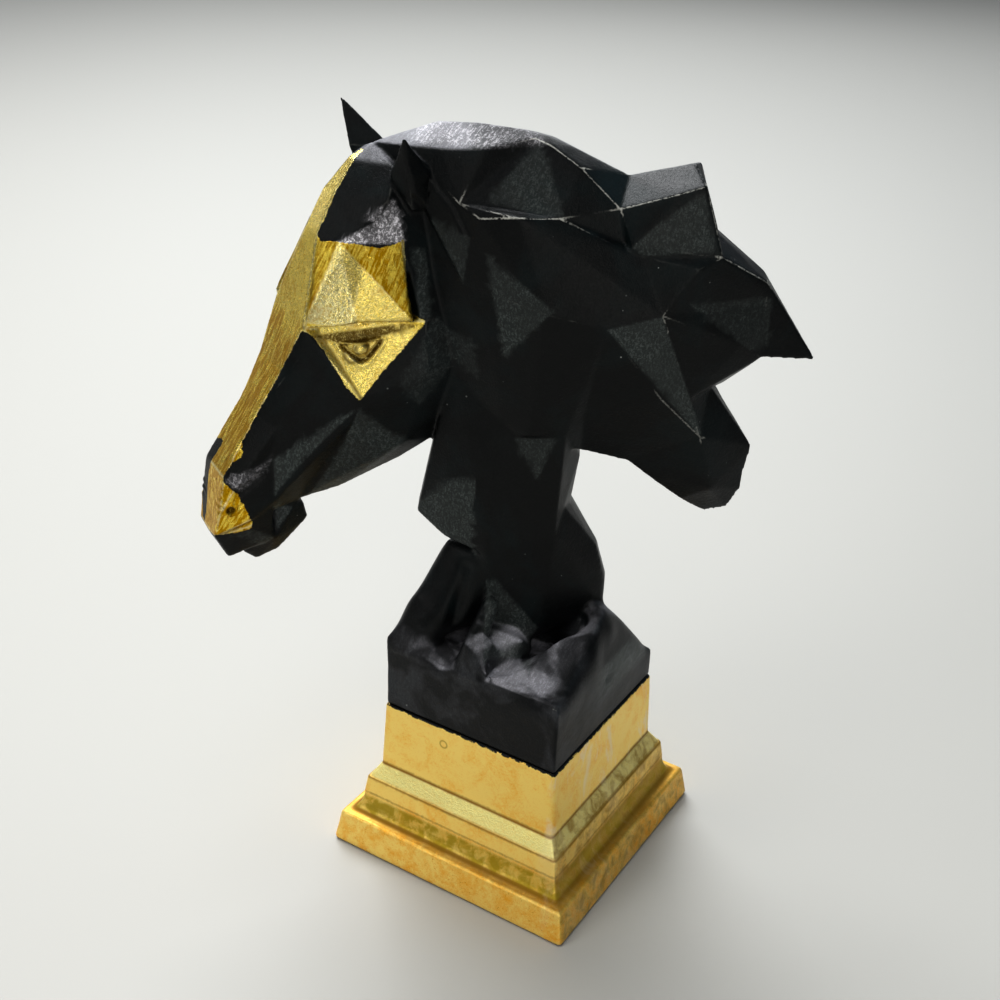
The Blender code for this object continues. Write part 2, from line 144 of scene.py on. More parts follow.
# and on the neck and mane by its frame's forward and up
NECK_LIT_FACETS = (
    (((40, 214.7), (25.3, 210.5), (27.6, 192.2)), 0.6),
    (((45.5, 203.4), (42, 203.4), (38.8, 177.7), (43, 177.5)), 0.8),
    (((19.5, 205.1), (11.8, 199.8), (-5.1, 186.6), (11.9, 165.3)), 0.75),
    (((2, 240.6), (-7.7, 218.4), (21.6, 223)), 0.45),
    (((-31.8, 208.8), (-41, 217.6), (-55.5, 228.5), (-62, 207.5), (-35.9, 205.5)), 0.7),
    (((-25.1, 180), (-44.5, 184.7), (-58, 149.5), (-64.5, 132)), 1.0),
    (((-54.1, 188.2), (-85.2, 186.9), (-85.4, 168.4), (-78.7, 168.1)), 0.5),
    (((7, 130.1), (-8.5, 130.8), (-3.2, 112.9)), 0.7),
    (((15.9, 64.9), (10.3, 63.6), (-6, 41.4), (-2.5, 33.6), (15.4, 36.9)), 0.8),
)
# The plinth's levels, in mm from the floor, and the place of a dried drip on its face, in metres
SLAB_TOP, COVE_TOP, BAND_TOP, CHAMFER_TOP = 15.5, 25.0, 33.5, 40.0
DRIP = (-0.0115, -0.0424, 0.0635)
# Tones laid over the main paints, some of them a painted highlight, sheen or shade
TONES = {
    "teal black": (0.003, 0.0062, 0.0068, 1), "dry black": (0.007, 0.009, 0.009, 1),
    "facet highlight black": (0.070, 0.082, 0.079, 1), "bloom": (0.34, 0.34, 0.38, 1),
    "rubbed": (0.80, 0.78, 0.83, 1), "speck": (0.55, 0.57, 0.56, 1),
    "highlight gold": (1.0, 0.94, 0.54, 1), "plinth light": (1.0, 0.73, 0.20, 1),
    "plinth deep": (0.95, 0.47, 0.04, 1), "plinth wash": (0.22, 0.095, 0.006, 1),
    "olive": (0.40, 0.29, 0.015, 1), "chamfer": (1.0, 0.94, 0.36, 1),
    "painted shade brown": (0.24, 0.10, 0.006, 1), "shaded side": (0.36, 0.20, 0.02, 1),
    "pale run": (0.95, 0.84, 0.62, 1), "drip ring": (0.40, 0.25, 0.03, 1),
}
# Lights: azimuth and elevation in degrees, distance, width and height in metres, watts, colour.
# Two of them take their power from the settings
LIGHTS = (
    ("window", 303, 56, 1.6, (0.85, 1.0), "window", (0.96, 0.98, 1.0)),
    ("low window", 330, 20, 1.9, (1.5, 0.45), 12.0, (0.95, 0.98, 1.0)),
    ("top card", 262, 80, 1.5, (0.6, 0.6), 5.5, (0.97, 0.98, 1.0)),
    ("front fill", 145, 36, 1.9, (0.4, 0.4), 4.0, (1.0, 0.97, 0.92)),
    ("right card", 131, 5, 1.4, (0.55, 0.52), 2.8, (1.0, 0.98, 0.92)),
    ("far left card", 277, 12, 1.5, (0.5, 0.45), 1.3, (1.0, 0.97, 0.90)),
    ("left card", 208, 30, 1.6, (0.5, 0.8), 4.4, (1.0, 0.98, 0.94)),
    ("sky card", 40, 42, 1.8, (0.6, 0.6), 1.6, (0.45, 0.8, 1.0)),
    ("overhead", 200, 72, 1.7, (1.3, 1.3), "overhead", (1.0, 0.97, 0.9)),
)
LIGHTS_AIM = Vector((0.0, 0.0, 0.15))
CAMERA_PLACE = (0.26163, -0.45315, 0.46455)
CAMERA_YAW, CAMERA_PITCH, CAMERA_ROLL = map(math.radians, (-31.3, 29.8, 2.1))
# Lumps added to the rock before it is softened: points in mm and the radius at each
ROCK_LUMPS = (
    ((-19, -25, 127, 6.0), (-26, -29, 116, 8.0), (-30, -32, 106, 8.5)),
    ((-2, -25, 127, 4.0), (-4, -32, 113, 5.0), (-7, -36, 103, 4.5)),
    ((32, -4, 115, 4.0), (35, 6, 112, 5.0), (33, 18, 106, 5.0)),
    ((1, -37.6, 99, 3.4), (7, -37.8, 99.5, 3.2)),
)
# A painted highlight along the rim of the front slab, laid as worn paint, in mm
ROCK_RIM_HIGHLIGHT = ((6, -41, 103), (14, -41, 104), (24, -41, 103.5), (33, -40, 103), (40, -39, 101.5))
# Where a painted grey sheen lies beside the rock's left mound, in mm, and on the poll, in the
# neck's frame
ROCK_SHEEN = ((-35, -37, 105), (-27, -37, 104))
POLL_SHEEN = ((62, 0, 237), (50, 4, 240), (34, 7, 241.5))
# Strokes of the rock's modelling: the path in mm, its width, and how far it stands out
ROCK_STROKES = (
    (((-14, -24, 140), (-15, -29, 122), (-15, -31, 111), (-15, -39, 103)), 3.0, -2.6),
    (((6, -34, 108), (12, -33, 108), (18, -27, 111), (26, -16, 114)), 2.4, -1.8),
    (((17, -36, 107), (27, -29, 110), (34, -18, 113)), 8.0, -1.6),
    (((8, -41, 103), (21, -41, 103.5), (31, -39, 103.5), (39, -38, 102)), 1.3, 0.7),
    (((-38, -41, 101), (-24, -41, 102), (-12, -41, 101), (4, -41, 102)), 1.6, 0.4),
    (((-33, -33, 124), (-37, -30, 112)), 3.5, 1.0),
)


class CastingSettings(bpy.types.PropertyGroup):
    """Sizes of the casting's fine surface."""
    grid: bpy.props.FloatProperty(
        name="Grid", description="Width of the surface's cells before thinning",
        default=0.0008, min=0.0005, subtype="DISTANCE", unit="LENGTH")
    triangles: bpy.props.IntProperty(
        name="Triangles", description="Faces left after thinning", default=190000, min=20000)
    softening: bpy.props.IntProperty(
        name="Softening", description="Rounds of smoothing on the facets' edges", default=3, min=0)
    rock_softening: bpy.props.IntProperty(
        name="Rock softening", description="Rounds of smoothing on the rock", default=50, min=0)
    waviness: bpy.props.FloatProperty(
        name="Waviness", description="How far the facets stray from flat",
        default=0.00022, subtype="DISTANCE", unit="LENGTH")


class PaintSettings(bpy.types.PropertyGroup):
    """Colours of the lacquer and of the leaf."""
    lacquer: bpy.props.FloatVectorProperty(
        name="Lacquer", description="The black's own colour", subtype="COLOR",
        default=(0.0022, 0.0028, 0.0030), min=0, max=1)
    # The pale of worn ridges, which also paints their highlight
    edge_wear_and_highlight: bpy.props.FloatVectorProperty(
        name="Worn edge and highlight", description="Pale tone where the black is rubbed", subtype="COLOR",
        default=(0.50, 0.50, 0.46), min=0, max=1)
    leaf_light: bpy.props.FloatVectorProperty(
        name="Leaf, light", description="Clean gold leaf", subtype="COLOR",
        default=(1.0, 0.76, 0.11), min=0, max=1)
    leaf_deep: bpy.props.FloatVectorProperty(
        name="Leaf, deep", description="Stained gold leaf", subtype="COLOR",
        default=(0.56, 0.30, 0.002), min=0, max=1)
    wash: bpy.props.FloatVectorProperty(
        name="Wash", description="Brown wash in the folds", subtype="COLOR",
        default=(0.09, 0.045, 0.004), min=0, max=1)


class PlinthSettings(bpy.types.PropertyGroup):
    """Sizes of the moulded plinth, from the floor up."""
    slab_width: bpy.props.FloatProperty(
        name="Slab width", description="Width at the floor", default=0.1165,
        subtype="DISTANCE", unit="LENGTH")
    slab_top_width: bpy.props.FloatProperty(
        name="Slab top width", description="Width at the slab's upper edge", default=0.1125,
        subtype="DISTANCE", unit="LENGTH")
    cove_width: bpy.props.FloatProperty(
        name="Cove width", description="Width at the band above the cove", default=0.0976,
        subtype="DISTANCE", unit="LENGTH")
    block_width: bpy.props.FloatProperty(
        name="Block width", description="Width at the block's foot", default=0.0862,
        subtype="DISTANCE", unit="LENGTH")
    dents: bpy.props.FloatProperty(
        name="Dents", description="Depth of the handling marks", default=0.00025,
        subtype="DISTANCE", unit="LENGTH")


class StageSettings(bpy.types.PropertyGroup):
    """Floor, lights and camera."""
    floor: bpy.props.FloatVectorProperty(
        name="Floor", description="Colour of the floor", subtype="COLOR",
        default=(0.365, 0.36, 0.34), min=0, max=1)
    lens: bpy.props.FloatProperty(
        name="Lens", description="Focal length on a 36 mm wide picture", default=54.0, min=10)
    window: bpy.props.FloatProperty(
        name="Window", description="Power of the large light behind the object", default=36.0,
        min=0, unit="POWER")
    overhead: bpy.props.FloatProperty(
        name="Overhead", description="Power of the soft light over the floor", default=17.0,
        min=0, unit="POWER")


def as_points(mesh):
    """A mesh's vertex places as an array of rows."""
    places = np.empty(len(mesh.vertices) * 3)
    mesh.vertices.foreach_get("co", places)
    return places.reshape(-1, 3)


def as_normals(mesh):
    """A mesh's vertex normals as an array of rows."""
    normals = np.empty(len(mesh.vertices) * 3)
    mesh.vertices.foreach_get("normal", normals)
    return normals.reshape(-1, 3)


def smoothstep(low, high, values):
    """0 below low, 1 above high, and 3t^2 - 2t^3 between them."""
    t = np.clip((values - low) / (high - low), 0.0, 1.0)
    return t * t * (3.0 - 2.0 * t)


def lumps(points, size, seed):
    """Smooth random values from -1 to 1. Space is cut into cubes of the given size, each cube
    corner gets a value worked out from its whole-number place, and between the corners the
    values are blended with smoothstep weights."""
    cell = points / size + 17.3 * seed
    low = np.floor(cell).astype(np.int64)
    part = cell - low
    part = part * part * (3.0 - 2.0 * part)
    total = np.zeros(len(points))
    for corner in range(8):
        step = np.array([corner & 1, corner >> 1 & 1, corner >> 2 & 1])
        place = low + step
        code = place[:, 0] * 374761393 + place[:, 1] * 668265263 + place[:, 2] * 2147483647
        code = (code + seed * 1274126177) & 0xFFFFFFFF
        code = (code ^ (code >> 13)) * 1274126177 & 0xFFFFFFFF
        value = ((code ^ (code >> 16)) & 0xFFFF) / 32767.5 - 1.0
        weight = np.prod(np.where(step == 1, part, 1.0 - part), axis=1)
        total += weight * value
    return total


def into(matrix, points):
    """Points in the frame of a matrix, in mm."""
    back = np.array(matrix.inverted())
    return (points @ back[:3, :3].T + back[:3, 3]) / MM


def around_head(local):
    """Distance around the head from its middle line, in mm, negative on the right: the radius
    of the drum times the angle from straight out of the face."""
    return DRUM * np.arctan2(local[:, 1], local[:, 2] + DRUM)


def inside_distance(u, v, outline):
    """Distance to a closed outline in the plane, positive inside. The distance is the least one
    to any side; a point is inside where a line from it to the right crosses the sides an odd
    number of times."""
    nearest = np.full(len(u), 1e9)
    crossings = np.zeros(len(u), dtype=np.int64)
    corners = np.array(outline, dtype=float)
    for a, b in zip(corners, np.roll(corners, -1, axis=0)):
        side = b - a
        t = ((u - a[0]) * side[0] + (v - a[1]) * side[1]) / (side @ side)
        t = np.clip(t, 0.0, 1.0)
        nearest = np.minimum(nearest, np.hypot(u - a[0] - t * side[0], v - a[1] - t * side[1]))
        spans = (a[1] > v) != (b[1] > v)
        rise = b[1] - a[1] if b[1] != a[1] else 1e-9
        crossings += spans & (u < a[0] + (v - a[1]) * side[0] / rise)
    return np.where(crossings % 2 == 1, nearest, -nearest)


def strongest(u, v, outlines, soft):
    """The greatest strength among the outlines that a point lies in, 0 outside them all. Their
    borders are as soft as asked on either side."""
    share = np.zeros(len(u))
    for outline, strength in outlines:
        inside = smoothstep(-soft, soft, inside_distance(u, v, outline))
        share = np.maximum(share, strength * inside)
    return share


def path_distance(points, path):
    """Least distance of each point to a path of straight runs, in the units of both."""
    nearest = np.full(len(points), 1e9)
    for a, b in zip(path[:-1], path[1:]):
        a, b = np.array(a, dtype=float), np.array(b, dtype=float)
        side = b - a
        t = np.clip((points - a) @ side / (side @ side), 0.0, 1.0)
        gap = points - a - t[:, None] * side
        nearest = np.minimum(nearest, np.sqrt((gap * gap).sum(axis=1)))
    return nearest


def smooth(points, pairs, weights, rounds):
    """Moves each point part of the way to the mean of its neighbours, a number of times. The
    weights, from 0 to 1, say how far each point goes."""
    count = np.bincount(pairs.ravel(), minlength=len(points)).astype(float)
    for _ in range(rounds):
        mean = np.empty_like(points)
        for axis in range(3):
            ends = points[:, axis]
            total = np.bincount(pairs[:, 0], weights=ends[pairs[:, 1]], minlength=len(points))
            total += np.bincount(pairs[:, 1], weights=ends[pairs[:, 0]], minlength=len(points))
            mean[:, axis] = total / count
        points = points + (mean - points) * weights[:, None]
    return points


def edge_pairs(mesh):
    """The two vertex numbers of every edge, as rows."""
    pairs = np.empty(len(mesh.edges) * 2, dtype=np.int64)
    mesh.edges.foreach_get("vertices", pairs)
    return pairs.reshape(-1, 2)


def evaluated_mesh(item):
    """The mesh of an object with its modifiers, as a mesh of its own."""
    bpy.context.view_layer.update()
    graph = bpy.context.evaluated_depsgraph_get()
    return bpy.data.meshes.new_from_object(item.evaluated_get(graph), depsgraph=graph)


def placed(name, data):
    """A new object in the scene, at the origin."""
    item = bpy.data.objects.new(name, data)
    bpy.context.scene.collection.objects.link(item)
    return item


def merged_copy(node, name):
    """A copy of a CAD node's mesh with its doubled corners merged, in an object of its own."""
    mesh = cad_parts[node].data.copy()
    mesh.materials.clear()
    shape = bmesh.new()
    shape.from_mesh(mesh)
    bmesh.ops.remove_doubles(shape, verts=shape.verts, dist=2e-6)
    shape.to_mesh(mesh)
    shape.free()
    mesh.name = name
    return placed(name, mesh)


def put_attribute(mesh, name, values):
    """One number for each vertex, or one place, under a name that a material reads."""
    kind, key = ("FLOAT", "value") if values.ndim == 1 else ("FLOAT_VECTOR", "vector")
    layer = mesh.attributes.new(name, kind, "POINT")
    layer.data.foreach_set(key, values.astype(np.float32).ravel())


def crease_distances(solid, points, least_angle):
    """Distance from each point to the solid's nearest sharp edge that stands out and to the
    nearest one that folds in, in mm, both at most the crease reach."""
    shape = bmesh.new()
    shape.from_mesh(solid)
    ridges, folds = [], []
    for edge in shape.edges:
        if len(edge.link_faces) != 2 or edge.calc_length() < 0.8 * MM:
            continue
        angle = edge.calc_face_angle_signed(0.0)
        if abs(angle) >= least_angle:
            ends = np.array([edge.verts[0].co, edge.verts[1].co])
            (ridges if angle > 0 else folds).append(ends)
    shape.free()
    found = []
    for group in (ridges, folds):
        nearest = np.full(len(points), CREASE_REACH)
        for a, b in group:
            low = np.minimum(a, b) - CREASE_REACH
            high = np.maximum(a, b) + CREASE_REACH
            near = np.flatnonzero(((points > low) & (points < high)).all(axis=1))
            nearest[near] = np.minimum(nearest[near], path_distance(points[near], (a, b)))
        found.append(nearest / MM)
    return found


def both_sides(local):
    """Points in the head's frame with those of its right side laid over its left side."""
    return local * np.where(local[:, 1:2] < 0, [[1, -1, 1]], [[1, 1, 1]])


def eye_places(local):
    """Places over the eye, in mm: x from its front corner to its rear one, y down the cheek, and
    how far each point stands off the eye's plane."""
    off = both_sides(local) - np.array(EYE_MIDDLE)
    across, down = np.array(EYE_ACROSS), np.array(EYE_DOWN)
    return off @ across, off @ down, np.abs(off @ np.cross(across, down))


def under_groove(x, y):
    """How far below the middle line of the eye's groove a point lies. The line is a V with a
    round foot: 6.8 less 1.12 times (the root of x squared plus 4, less 2)."""
    return y - (6.8 - 1.12 * (np.sqrt(x * x + 4.0) - 2.0))


def eye_groove(local):
    """How deep in the groove under the eye a point lies, from 0 to 1: the fourth power of its
    distance from the middle line, in an exponential fall."""
    x, y, off = eye_places(local)
    lower = under_groove(x, y) / np.where(np.abs(x) > 1.5, 1.45, 1.1)
    ends = smoothstep(9.0, 6.8, np.abs(x)) * (y > -1.2) * (off < 7)
    return np.exp(-(lower / 0.85) ** 4) * ends


def eye_relief(local):
    """Height of the eye's carving, in mm. The ball is a dome, half an ellipsoid 6 mm long; the
    groove runs round it; the upper lid is a straight narrow welt over it with a hollow above,
    and the lower lid is a low welt outside the groove."""
    x, y, off = eye_places(local)
    near = (np.abs(x) < 14) & (np.abs(y) < 14) & (off < 7)
    ball = np.sqrt(np.clip(1.0 - ((x + 0.4) / 3.2) ** 2 - ((y - 1.7) / 2.9) ** 2, 0.0, 1.0))
    lower = under_groove(x, y) / 1.4
    lip = np.exp(-((lower - 1.5) / 0.8) ** 2) * smoothstep(10.0, 6.5, np.abs(x))
    lid = np.exp(-((y + 0.4) / 0.55) ** 2) * smoothstep(10.5, 7.5, np.abs(x))
    fold = np.exp(-((y + 1.7) / 0.5) ** 2) * smoothstep(10.5, 7.0, np.abs(x))
    socket = smoothstep(-0.6, -1.4, y) * smoothstep(-5.5, -3.5, y) * smoothstep(12, 8, np.abs(x))
    inside = smoothstep(0.4, -0.8, lower) * smoothstep(-0.4, 0.2, y)
    height = 1.5 * ball - 0.8 * inside - 0.75 * eye_groove(local) * (ball < 0.1)
    height = height + 0.35 * lip + 0.5 * lid - 0.3 * fold - 0.35 * socket
    return np.where(near, height, 0.0)


def brow_relief(local):
    """Height of the brow's cut, in mm: four flat triangles between its six corners, each a plane
    through its corners' heights, by shares of area."""
    around = np.abs(around_head(local))
    height = np.zeros(len(local))
    for names in BROW_FACETS:
        (u1, v1, h1), (u2, v2, h2), (u3, v3, h3) = (BROW_CORNERS[name] for name in names)
        area = (u2 - u1) * (v3 - v1) - (u3 - u1) * (v2 - v1)
        first = ((u2 - local[:, 0]) * (v3 - around) - (u3 - local[:, 0]) * (v2 - around)) / area
        second = ((u3 - local[:, 0]) * (v1 - around) - (u1 - local[:, 0]) * (v3 - around)) / area
        third = 1.0 - first - second
        within = (first >= 0) & (second >= 0) & (third >= 0) & (local[:, 2] > FACE_FLOOR)
        height = np.where(within, first * h1 + second * h2 + third * h3, height)
    return height


def muzzle_relief(local):
    """Height of the muzzle's carving, in mm: a pit for the nostril with a low rim, wrinkles that
    fan out from it, and a thin welt along the top of the hollow behind it."""
    place = both_sides(local)
    off = place - np.array(NOSTRIL)
    reach = np.sqrt((off * off).sum(axis=1))
    turn = np.arctan2(off[:, 2], off[:, 0])
    pit = -1.5 * np.exp(-(reach / 1.25) ** 2) + 0.45 * np.exp(-((reach - 2.3) / 0.8) ** 2)
    bend = 2.2 * lumps(place, 5.0, 21)
    fan = 0.20 * np.sin(turn * 9.0 + bend + reach * 0.5) * smoothstep(2.2, 3.8, reach)
    fan = fan * smoothstep(9.0, 4.5, reach) * (place[:, 1] > 5)
    fan = fan * (0.6 + 0.8 * lumps(place, 3.0, 22))
    welt = path_distance(place, ((135.9, 12, 1.5), (129.3, 12.1, -4), (120.5, 11.9, -8.8)))
    hollow = path_distance(place, ((137.5, 12.4, -2.5), (129, 12.3, -7.2)))
    crest = 0.6 * np.exp(-(welt / 0.7) ** 2) - 0.6 * np.exp(-(hollow / 1.5) ** 2)
    return np.where(reach < 30, pit + fan + crest, 0.0)


def ear_relief(neck):
    """Height of the ears' folds on the neck, in mm: a low step that ends at a straight edge."""
    forward, left, up = neck.T
    step = smoothstep(0.0, 1.4, inside_distance(forward, up, EAR_FOLD))
    return 1.5 * step * (np.abs(left) > 9) * smoothstep(238, 230, up)


def rock_share(points):
    """How much of a point belongs to the rock, from 0 to 1, by its place in mm: all below the
    neck's foot, and beside the foot up to where the mound ends. The block's own corners and its
    underside stay crisp."""
    x, y, z = (points / MM).T
    low = smoothstep(76, 84, z) * smoothstep(156, 140, z)
    foot = smoothstep(110, 115, z) * smoothstep(-8, -3, x) * smoothstep(32, 27, x)
    corner = smoothstep(37.3, 40.7, np.minimum(np.abs(x), np.abs(y)))
    return low * (1.0 - foot) * (1.0 - corner)


def add_lumps(mesh, chains):
    """Adds balls to a mesh along each chain of points: the place and the radius run evenly from
    one point to the next."""
    shape = bmesh.new()
    shape.from_mesh(mesh)
    for chain in chains:
        marks = np.array(chain, dtype=float)
        for t in np.linspace(0, len(marks) - 1, 4 * len(marks) - 3):
            k = min(int(t), len(marks) - 2)
            x, y, z, radius = marks[k] + (marks[k + 1] - marks[k]) * (t - k)
            place = Matrix.Translation(Vector((x, y, z)) * MM)
            bmesh.ops.create_icosphere(shape, subdivisions=3, radius=radius * MM, matrix=place)
    shape.to_mesh(mesh)
    shape.free()


def finer_near(mesh, places, reach):
    """Splits each edge in two near the given places, for small carving."""
    shape = bmesh.new()
    shape.from_mesh(mesh)
    shape.verts.ensure_lookup_table()
    points = as_points(mesh)
    chosen = np.zeros(len(points), dtype=bool)
    for place in places:
        chosen |= ((points - np.array(place)) ** 2).sum(axis=1) < reach * reach
    picked = set(np.flatnonzero(chosen).tolist())
    edges = [e for e in shape.edges if e.verts[0].index in picked and e.verts[1].index in picked]
    bmesh.ops.subdivide_edges(shape, edges=edges, cuts=1, use_grid_fill=True)
    bmesh.ops.triangulate(shape, faces=[f for f in shape.faces if len(f.verts) > 4])
    shape.to_mesh(mesh)
    shape.free()


def build_casting(settings):
    """The rock, neck, mane and head as one surface. The solid is cut into small even cells that
    lie on its facets. Edges are rounded by smoothing, more on the rock than on the head. The
    facets get a low waviness: outward moves by two sizes of smooth random lumps."""
    solid = merged_copy("horse_head", "casting_solid")
    cells = merged_copy("horse_head", "casting_cells")
    add_lumps(cells.data, ROCK_LUMPS)
    even = cells.modifiers.new("even cells", "REMESH")
    even.mode = "VOXEL"
    even.voxel_size = settings.grid
    mesh = evaluated_mesh(cells)
    cells.modifiers.clear()
    cells.data = mesh
    cut = as_points(mesh)
    hold = cells.modifiers.new("onto the facets", "SHRINKWRAP")
    hold.target = solid
    hold.wrap_method = "NEAREST_SURFACEPOINT"
    held = as_points(evaluated_mesh(cells))
    cells.modifiers.clear()
    moved = np.sqrt(((held - cut) ** 2).sum(axis=1)) / MM
    points = cut + (held - cut) * smoothstep(1.5, 0.9, moved)[:, None]
    pairs = edge_pairs(mesh)
    points = smooth(points, pairs, np.full(len(points), 0.5), settings.softening)
    rock = rock_share(points)
    rounds = settings.rock_softening * (0.0008 / settings.grid) ** 2
    points = smooth(points, pairs, rock * 0.9, int(rounds))
    mesh.vertices.foreach_set("co", points.ravel())
    mesh.update()
    carved = [HEAD_FRAME @ (Vector((along, side * left, out)) * MM)
              for along, left, out in (EYE_MIDDLE, NOSTRIL) for side in (1, -1)]
    finer_near(mesh, carved, CARVING_REACH)
    points, normals = as_points(mesh), as_normals(mesh)
    strokes = np.zeros(len(points))
    for path, width, height in ROCK_STROKES:
        near = path_distance(points / MM, path) / width
        strokes += height * np.exp(-near * near)
    height = (points[:, 2] - CASTING_BASE) / MM
    strokes *= rock_share(points)
    wave = lumps(points, 0.013, 3) * 0.7 + lumps(points, 0.0055, 5) * 0.4
    wave = wave * (settings.waviness / MM) * smoothstep(0.5, 3.0, height)
    local = into(HEAD_FRAME, points)
    relief = wave + strokes + eye_relief(local) + muzzle_relief(local) + brow_relief(local)
    relief = relief + ear_relief(into(NECK_FRAME, points))
    points = points + normals * (relief * MM)[:, None]
    mesh.vertices.foreach_set("co", points.ravel())
    mesh.update()
    mesh.calc_loop_triangles()
    thin = cells.modifiers.new("thinning", "DECIMATE")
    thin.ratio = min(1.0, settings.triangles / len(mesh.loop_triangles))
    final = evaluated_mesh(cells)
    final.name = "casting"
    casting = placed("casting", final)
    add_casting_marks(final, solid.data)
    final.shade_smooth()
    bpy.data.objects.remove(cells)
    bpy.data.objects.remove(solid)
    return casting


def add_casting_marks(mesh, solid):
    """What the paint follows, for each vertex: its place along the head, distance inside the
    leaf's outline, distances to the nearest ridge and fold, how worn the ridge is, which also
    paints its highlight, the leaf's brown wash with painted shade, its stain with painted shade,
    and its paleness, a painted highlight, and where the black gets a painted glint, painted
    facet highlights and a painted sheen."""
    points = as_points(mesh)
    x, y, z = (points / MM).T
    local, neck = into(HEAD_FRAME, points), into(NECK_FRAME, points)
    forward, _, up = neck.T
    along, left, out = local.T
    turned = around_head(local)
    around = np.abs(turned)
    on_face = out > FACE_FLOOR
    lies = as_normals(mesh)[:, 2]

    leaf = inside_distance(along, around, LEAF_OUTLINE)
    leaf = np.minimum(leaf, -inside_distance(along, turned, BARE_OUTLINE))
    leaf = np.where((along > -2) & (np.abs(left) < 32) & (out > -48), leaf, -8.0)

    ridge, fold = crease_distances(solid, points, math.radians(14))
    plan = np.column_stack([along, around, np.zeros(len(around))])
    for name in ("inner foot", "outer foot"):
        ends = [(*BROW_CORNERS[end][:2], 0) for end in ("top", name)]
        ridge = np.where(on_face, np.minimum(ridge, path_distance(plan, ends) + 0.25), ridge)
    # How worn each ridge is, which also paints its highlight: a little everywhere high up
    edge_wear_and_highlight = 0.05 * smoothstep(130, 150, up)
    for path, strength in WORN_AND_LIT_EDGES:
        edge_wear_and_highlight = np.maximum(edge_wear_and_highlight, strength * smoothstep(4.0, 1.5, path_distance(neck, path)))
    # A painted highlight along the front slab's rim
    rim = path_distance(points / MM, ROCK_RIM_HIGHLIGHT)
    edge_wear_and_highlight = np.maximum(edge_wear_and_highlight, 0.7 * smoothstep(1.6, 0.8, rim))

    # Painted shade: the brow's two outer facets get more brown wash and stain
    shaded_outer_brow = brow_share(local, (0, 3))
    nostril = np.sqrt(((both_sides(local) - np.array(NOSTRIL)) ** 2).sum(axis=1))
    # Painted shade in the hollow over the upper lid
    lid = smoothstep(-0.5, 0.6, inside_distance(along, around, LID_SHADE)) * 0.9
    wash = np.maximum(eye_groove(local), lid)
    wash = np.maximum(wash, smoothstep(2.4, 1.3, nostril) * 1.6)
    stain = 0.12 + 0.55 * smoothstep(64, 76, along) * smoothstep(17, 12, around)
    stain = stain + 0.3 * smoothstep(128, 136, along)
    # Painted highlight: paler leaf on the brow's middle facets, the cheeks and the blaze's top
    pale = brow_share(local, (1,)) + 0.5 * brow_share(local, (2,))
    cheek = smoothstep(13, 16, around) * smoothstep(50, 56, along) * smoothstep(128, 120, along)
    pale = np.maximum(pale, 0.45 * cheek)
    pale = np.maximum(pale, 0.5 * smoothstep(40, 34, along) * smoothstep(6, 4, around))

    # Painted highlight: a pale glint on the crown and on the listed places of the head
    crown_glint = smoothstep(9, 5, path_distance(neck, CROWN_GLINT)) * smoothstep(239, 241, up)
    rubbed = np.maximum(strongest(along, around, GLINT_PATCHES, 0.6) * on_face, 0.38 * crown_glint)
    # Painted highlight: paler black on the listed facets that catch the light
    brushed = strongest(along, around, HEAD_LIT_FACETS, 0.4) * (along > 40) * (np.abs(left) < 34)
    brushed = np.maximum(brushed, strongest(forward, up, NECK_LIT_FACETS, 0.4))
    # Painted sheen: a pale reflection painted on the block's right face, laid with the facets'
    # highlight
    block_side_sheen = smoothstep(39, 40.5, x) * smoothstep(-18, 8, y)
    block_side_sheen = block_side_sheen * smoothstep(82, 92, z) * smoothstep(103, 100, z)
    # Painted sheen: pale grey on the rock's upward faces, over its lower part, beside its left
    # mound and on the poll
    bloom = smoothstep(0.35, 0.75, lies) * smoothstep(128, 112, z) * smoothstep(38, 30, x)
    bloom = np.maximum(bloom, 0.10 * smoothstep(118, 108, z))
    bloom = np.maximum(bloom, 0.7 * smoothstep(9, 3, path_distance(points / MM, ROCK_SHEEN)))
    poll_sheen = smoothstep(11, 6, path_distance(neck, POLL_SHEEN)) * smoothstep(0.55, 0.8, lies)
    # Some of these marks are painted light: the outer brow's wash and stain, the leaf's paleness,
    # the glint, the facets' highlight and the sheen
    marks = {
        "along_head": local, "leaf_distance": np.clip(leaf, -8, 8), "fold_distance": fold,
        "ridge_distance": np.minimum(ridge, rim + 0.1), "ridge_wear": edge_wear_and_highlight,
        "brown_wash": np.maximum(wash, 0.32 * shaded_outer_brow),
        "stain": np.maximum(stain, shaded_outer_brow * 0.5), "pale_leaf": pale, "rubbed": rubbed,
        "brushed": np.maximum(brushed, 1.6 * block_side_sheen),
        "bloom": np.maximum(bloom, 0.55 * poll_sheen),
    }
    for name, values in marks.items():
        put_attribute(mesh, name, values)


def brow_share(local, numbers):
    """1 inside the brow's facets of the given numbers, and 0 outside."""
    outlines = [([BROW_CORNERS[name][:2] for name in BROW_FACETS[number]], 1.0)
                for number in numbers]
    share = strongest(local[:, 0], np.abs(around_head(local)), outlines, 0.3)
    return share * (local[:, 2] > FACE_FLOOR)


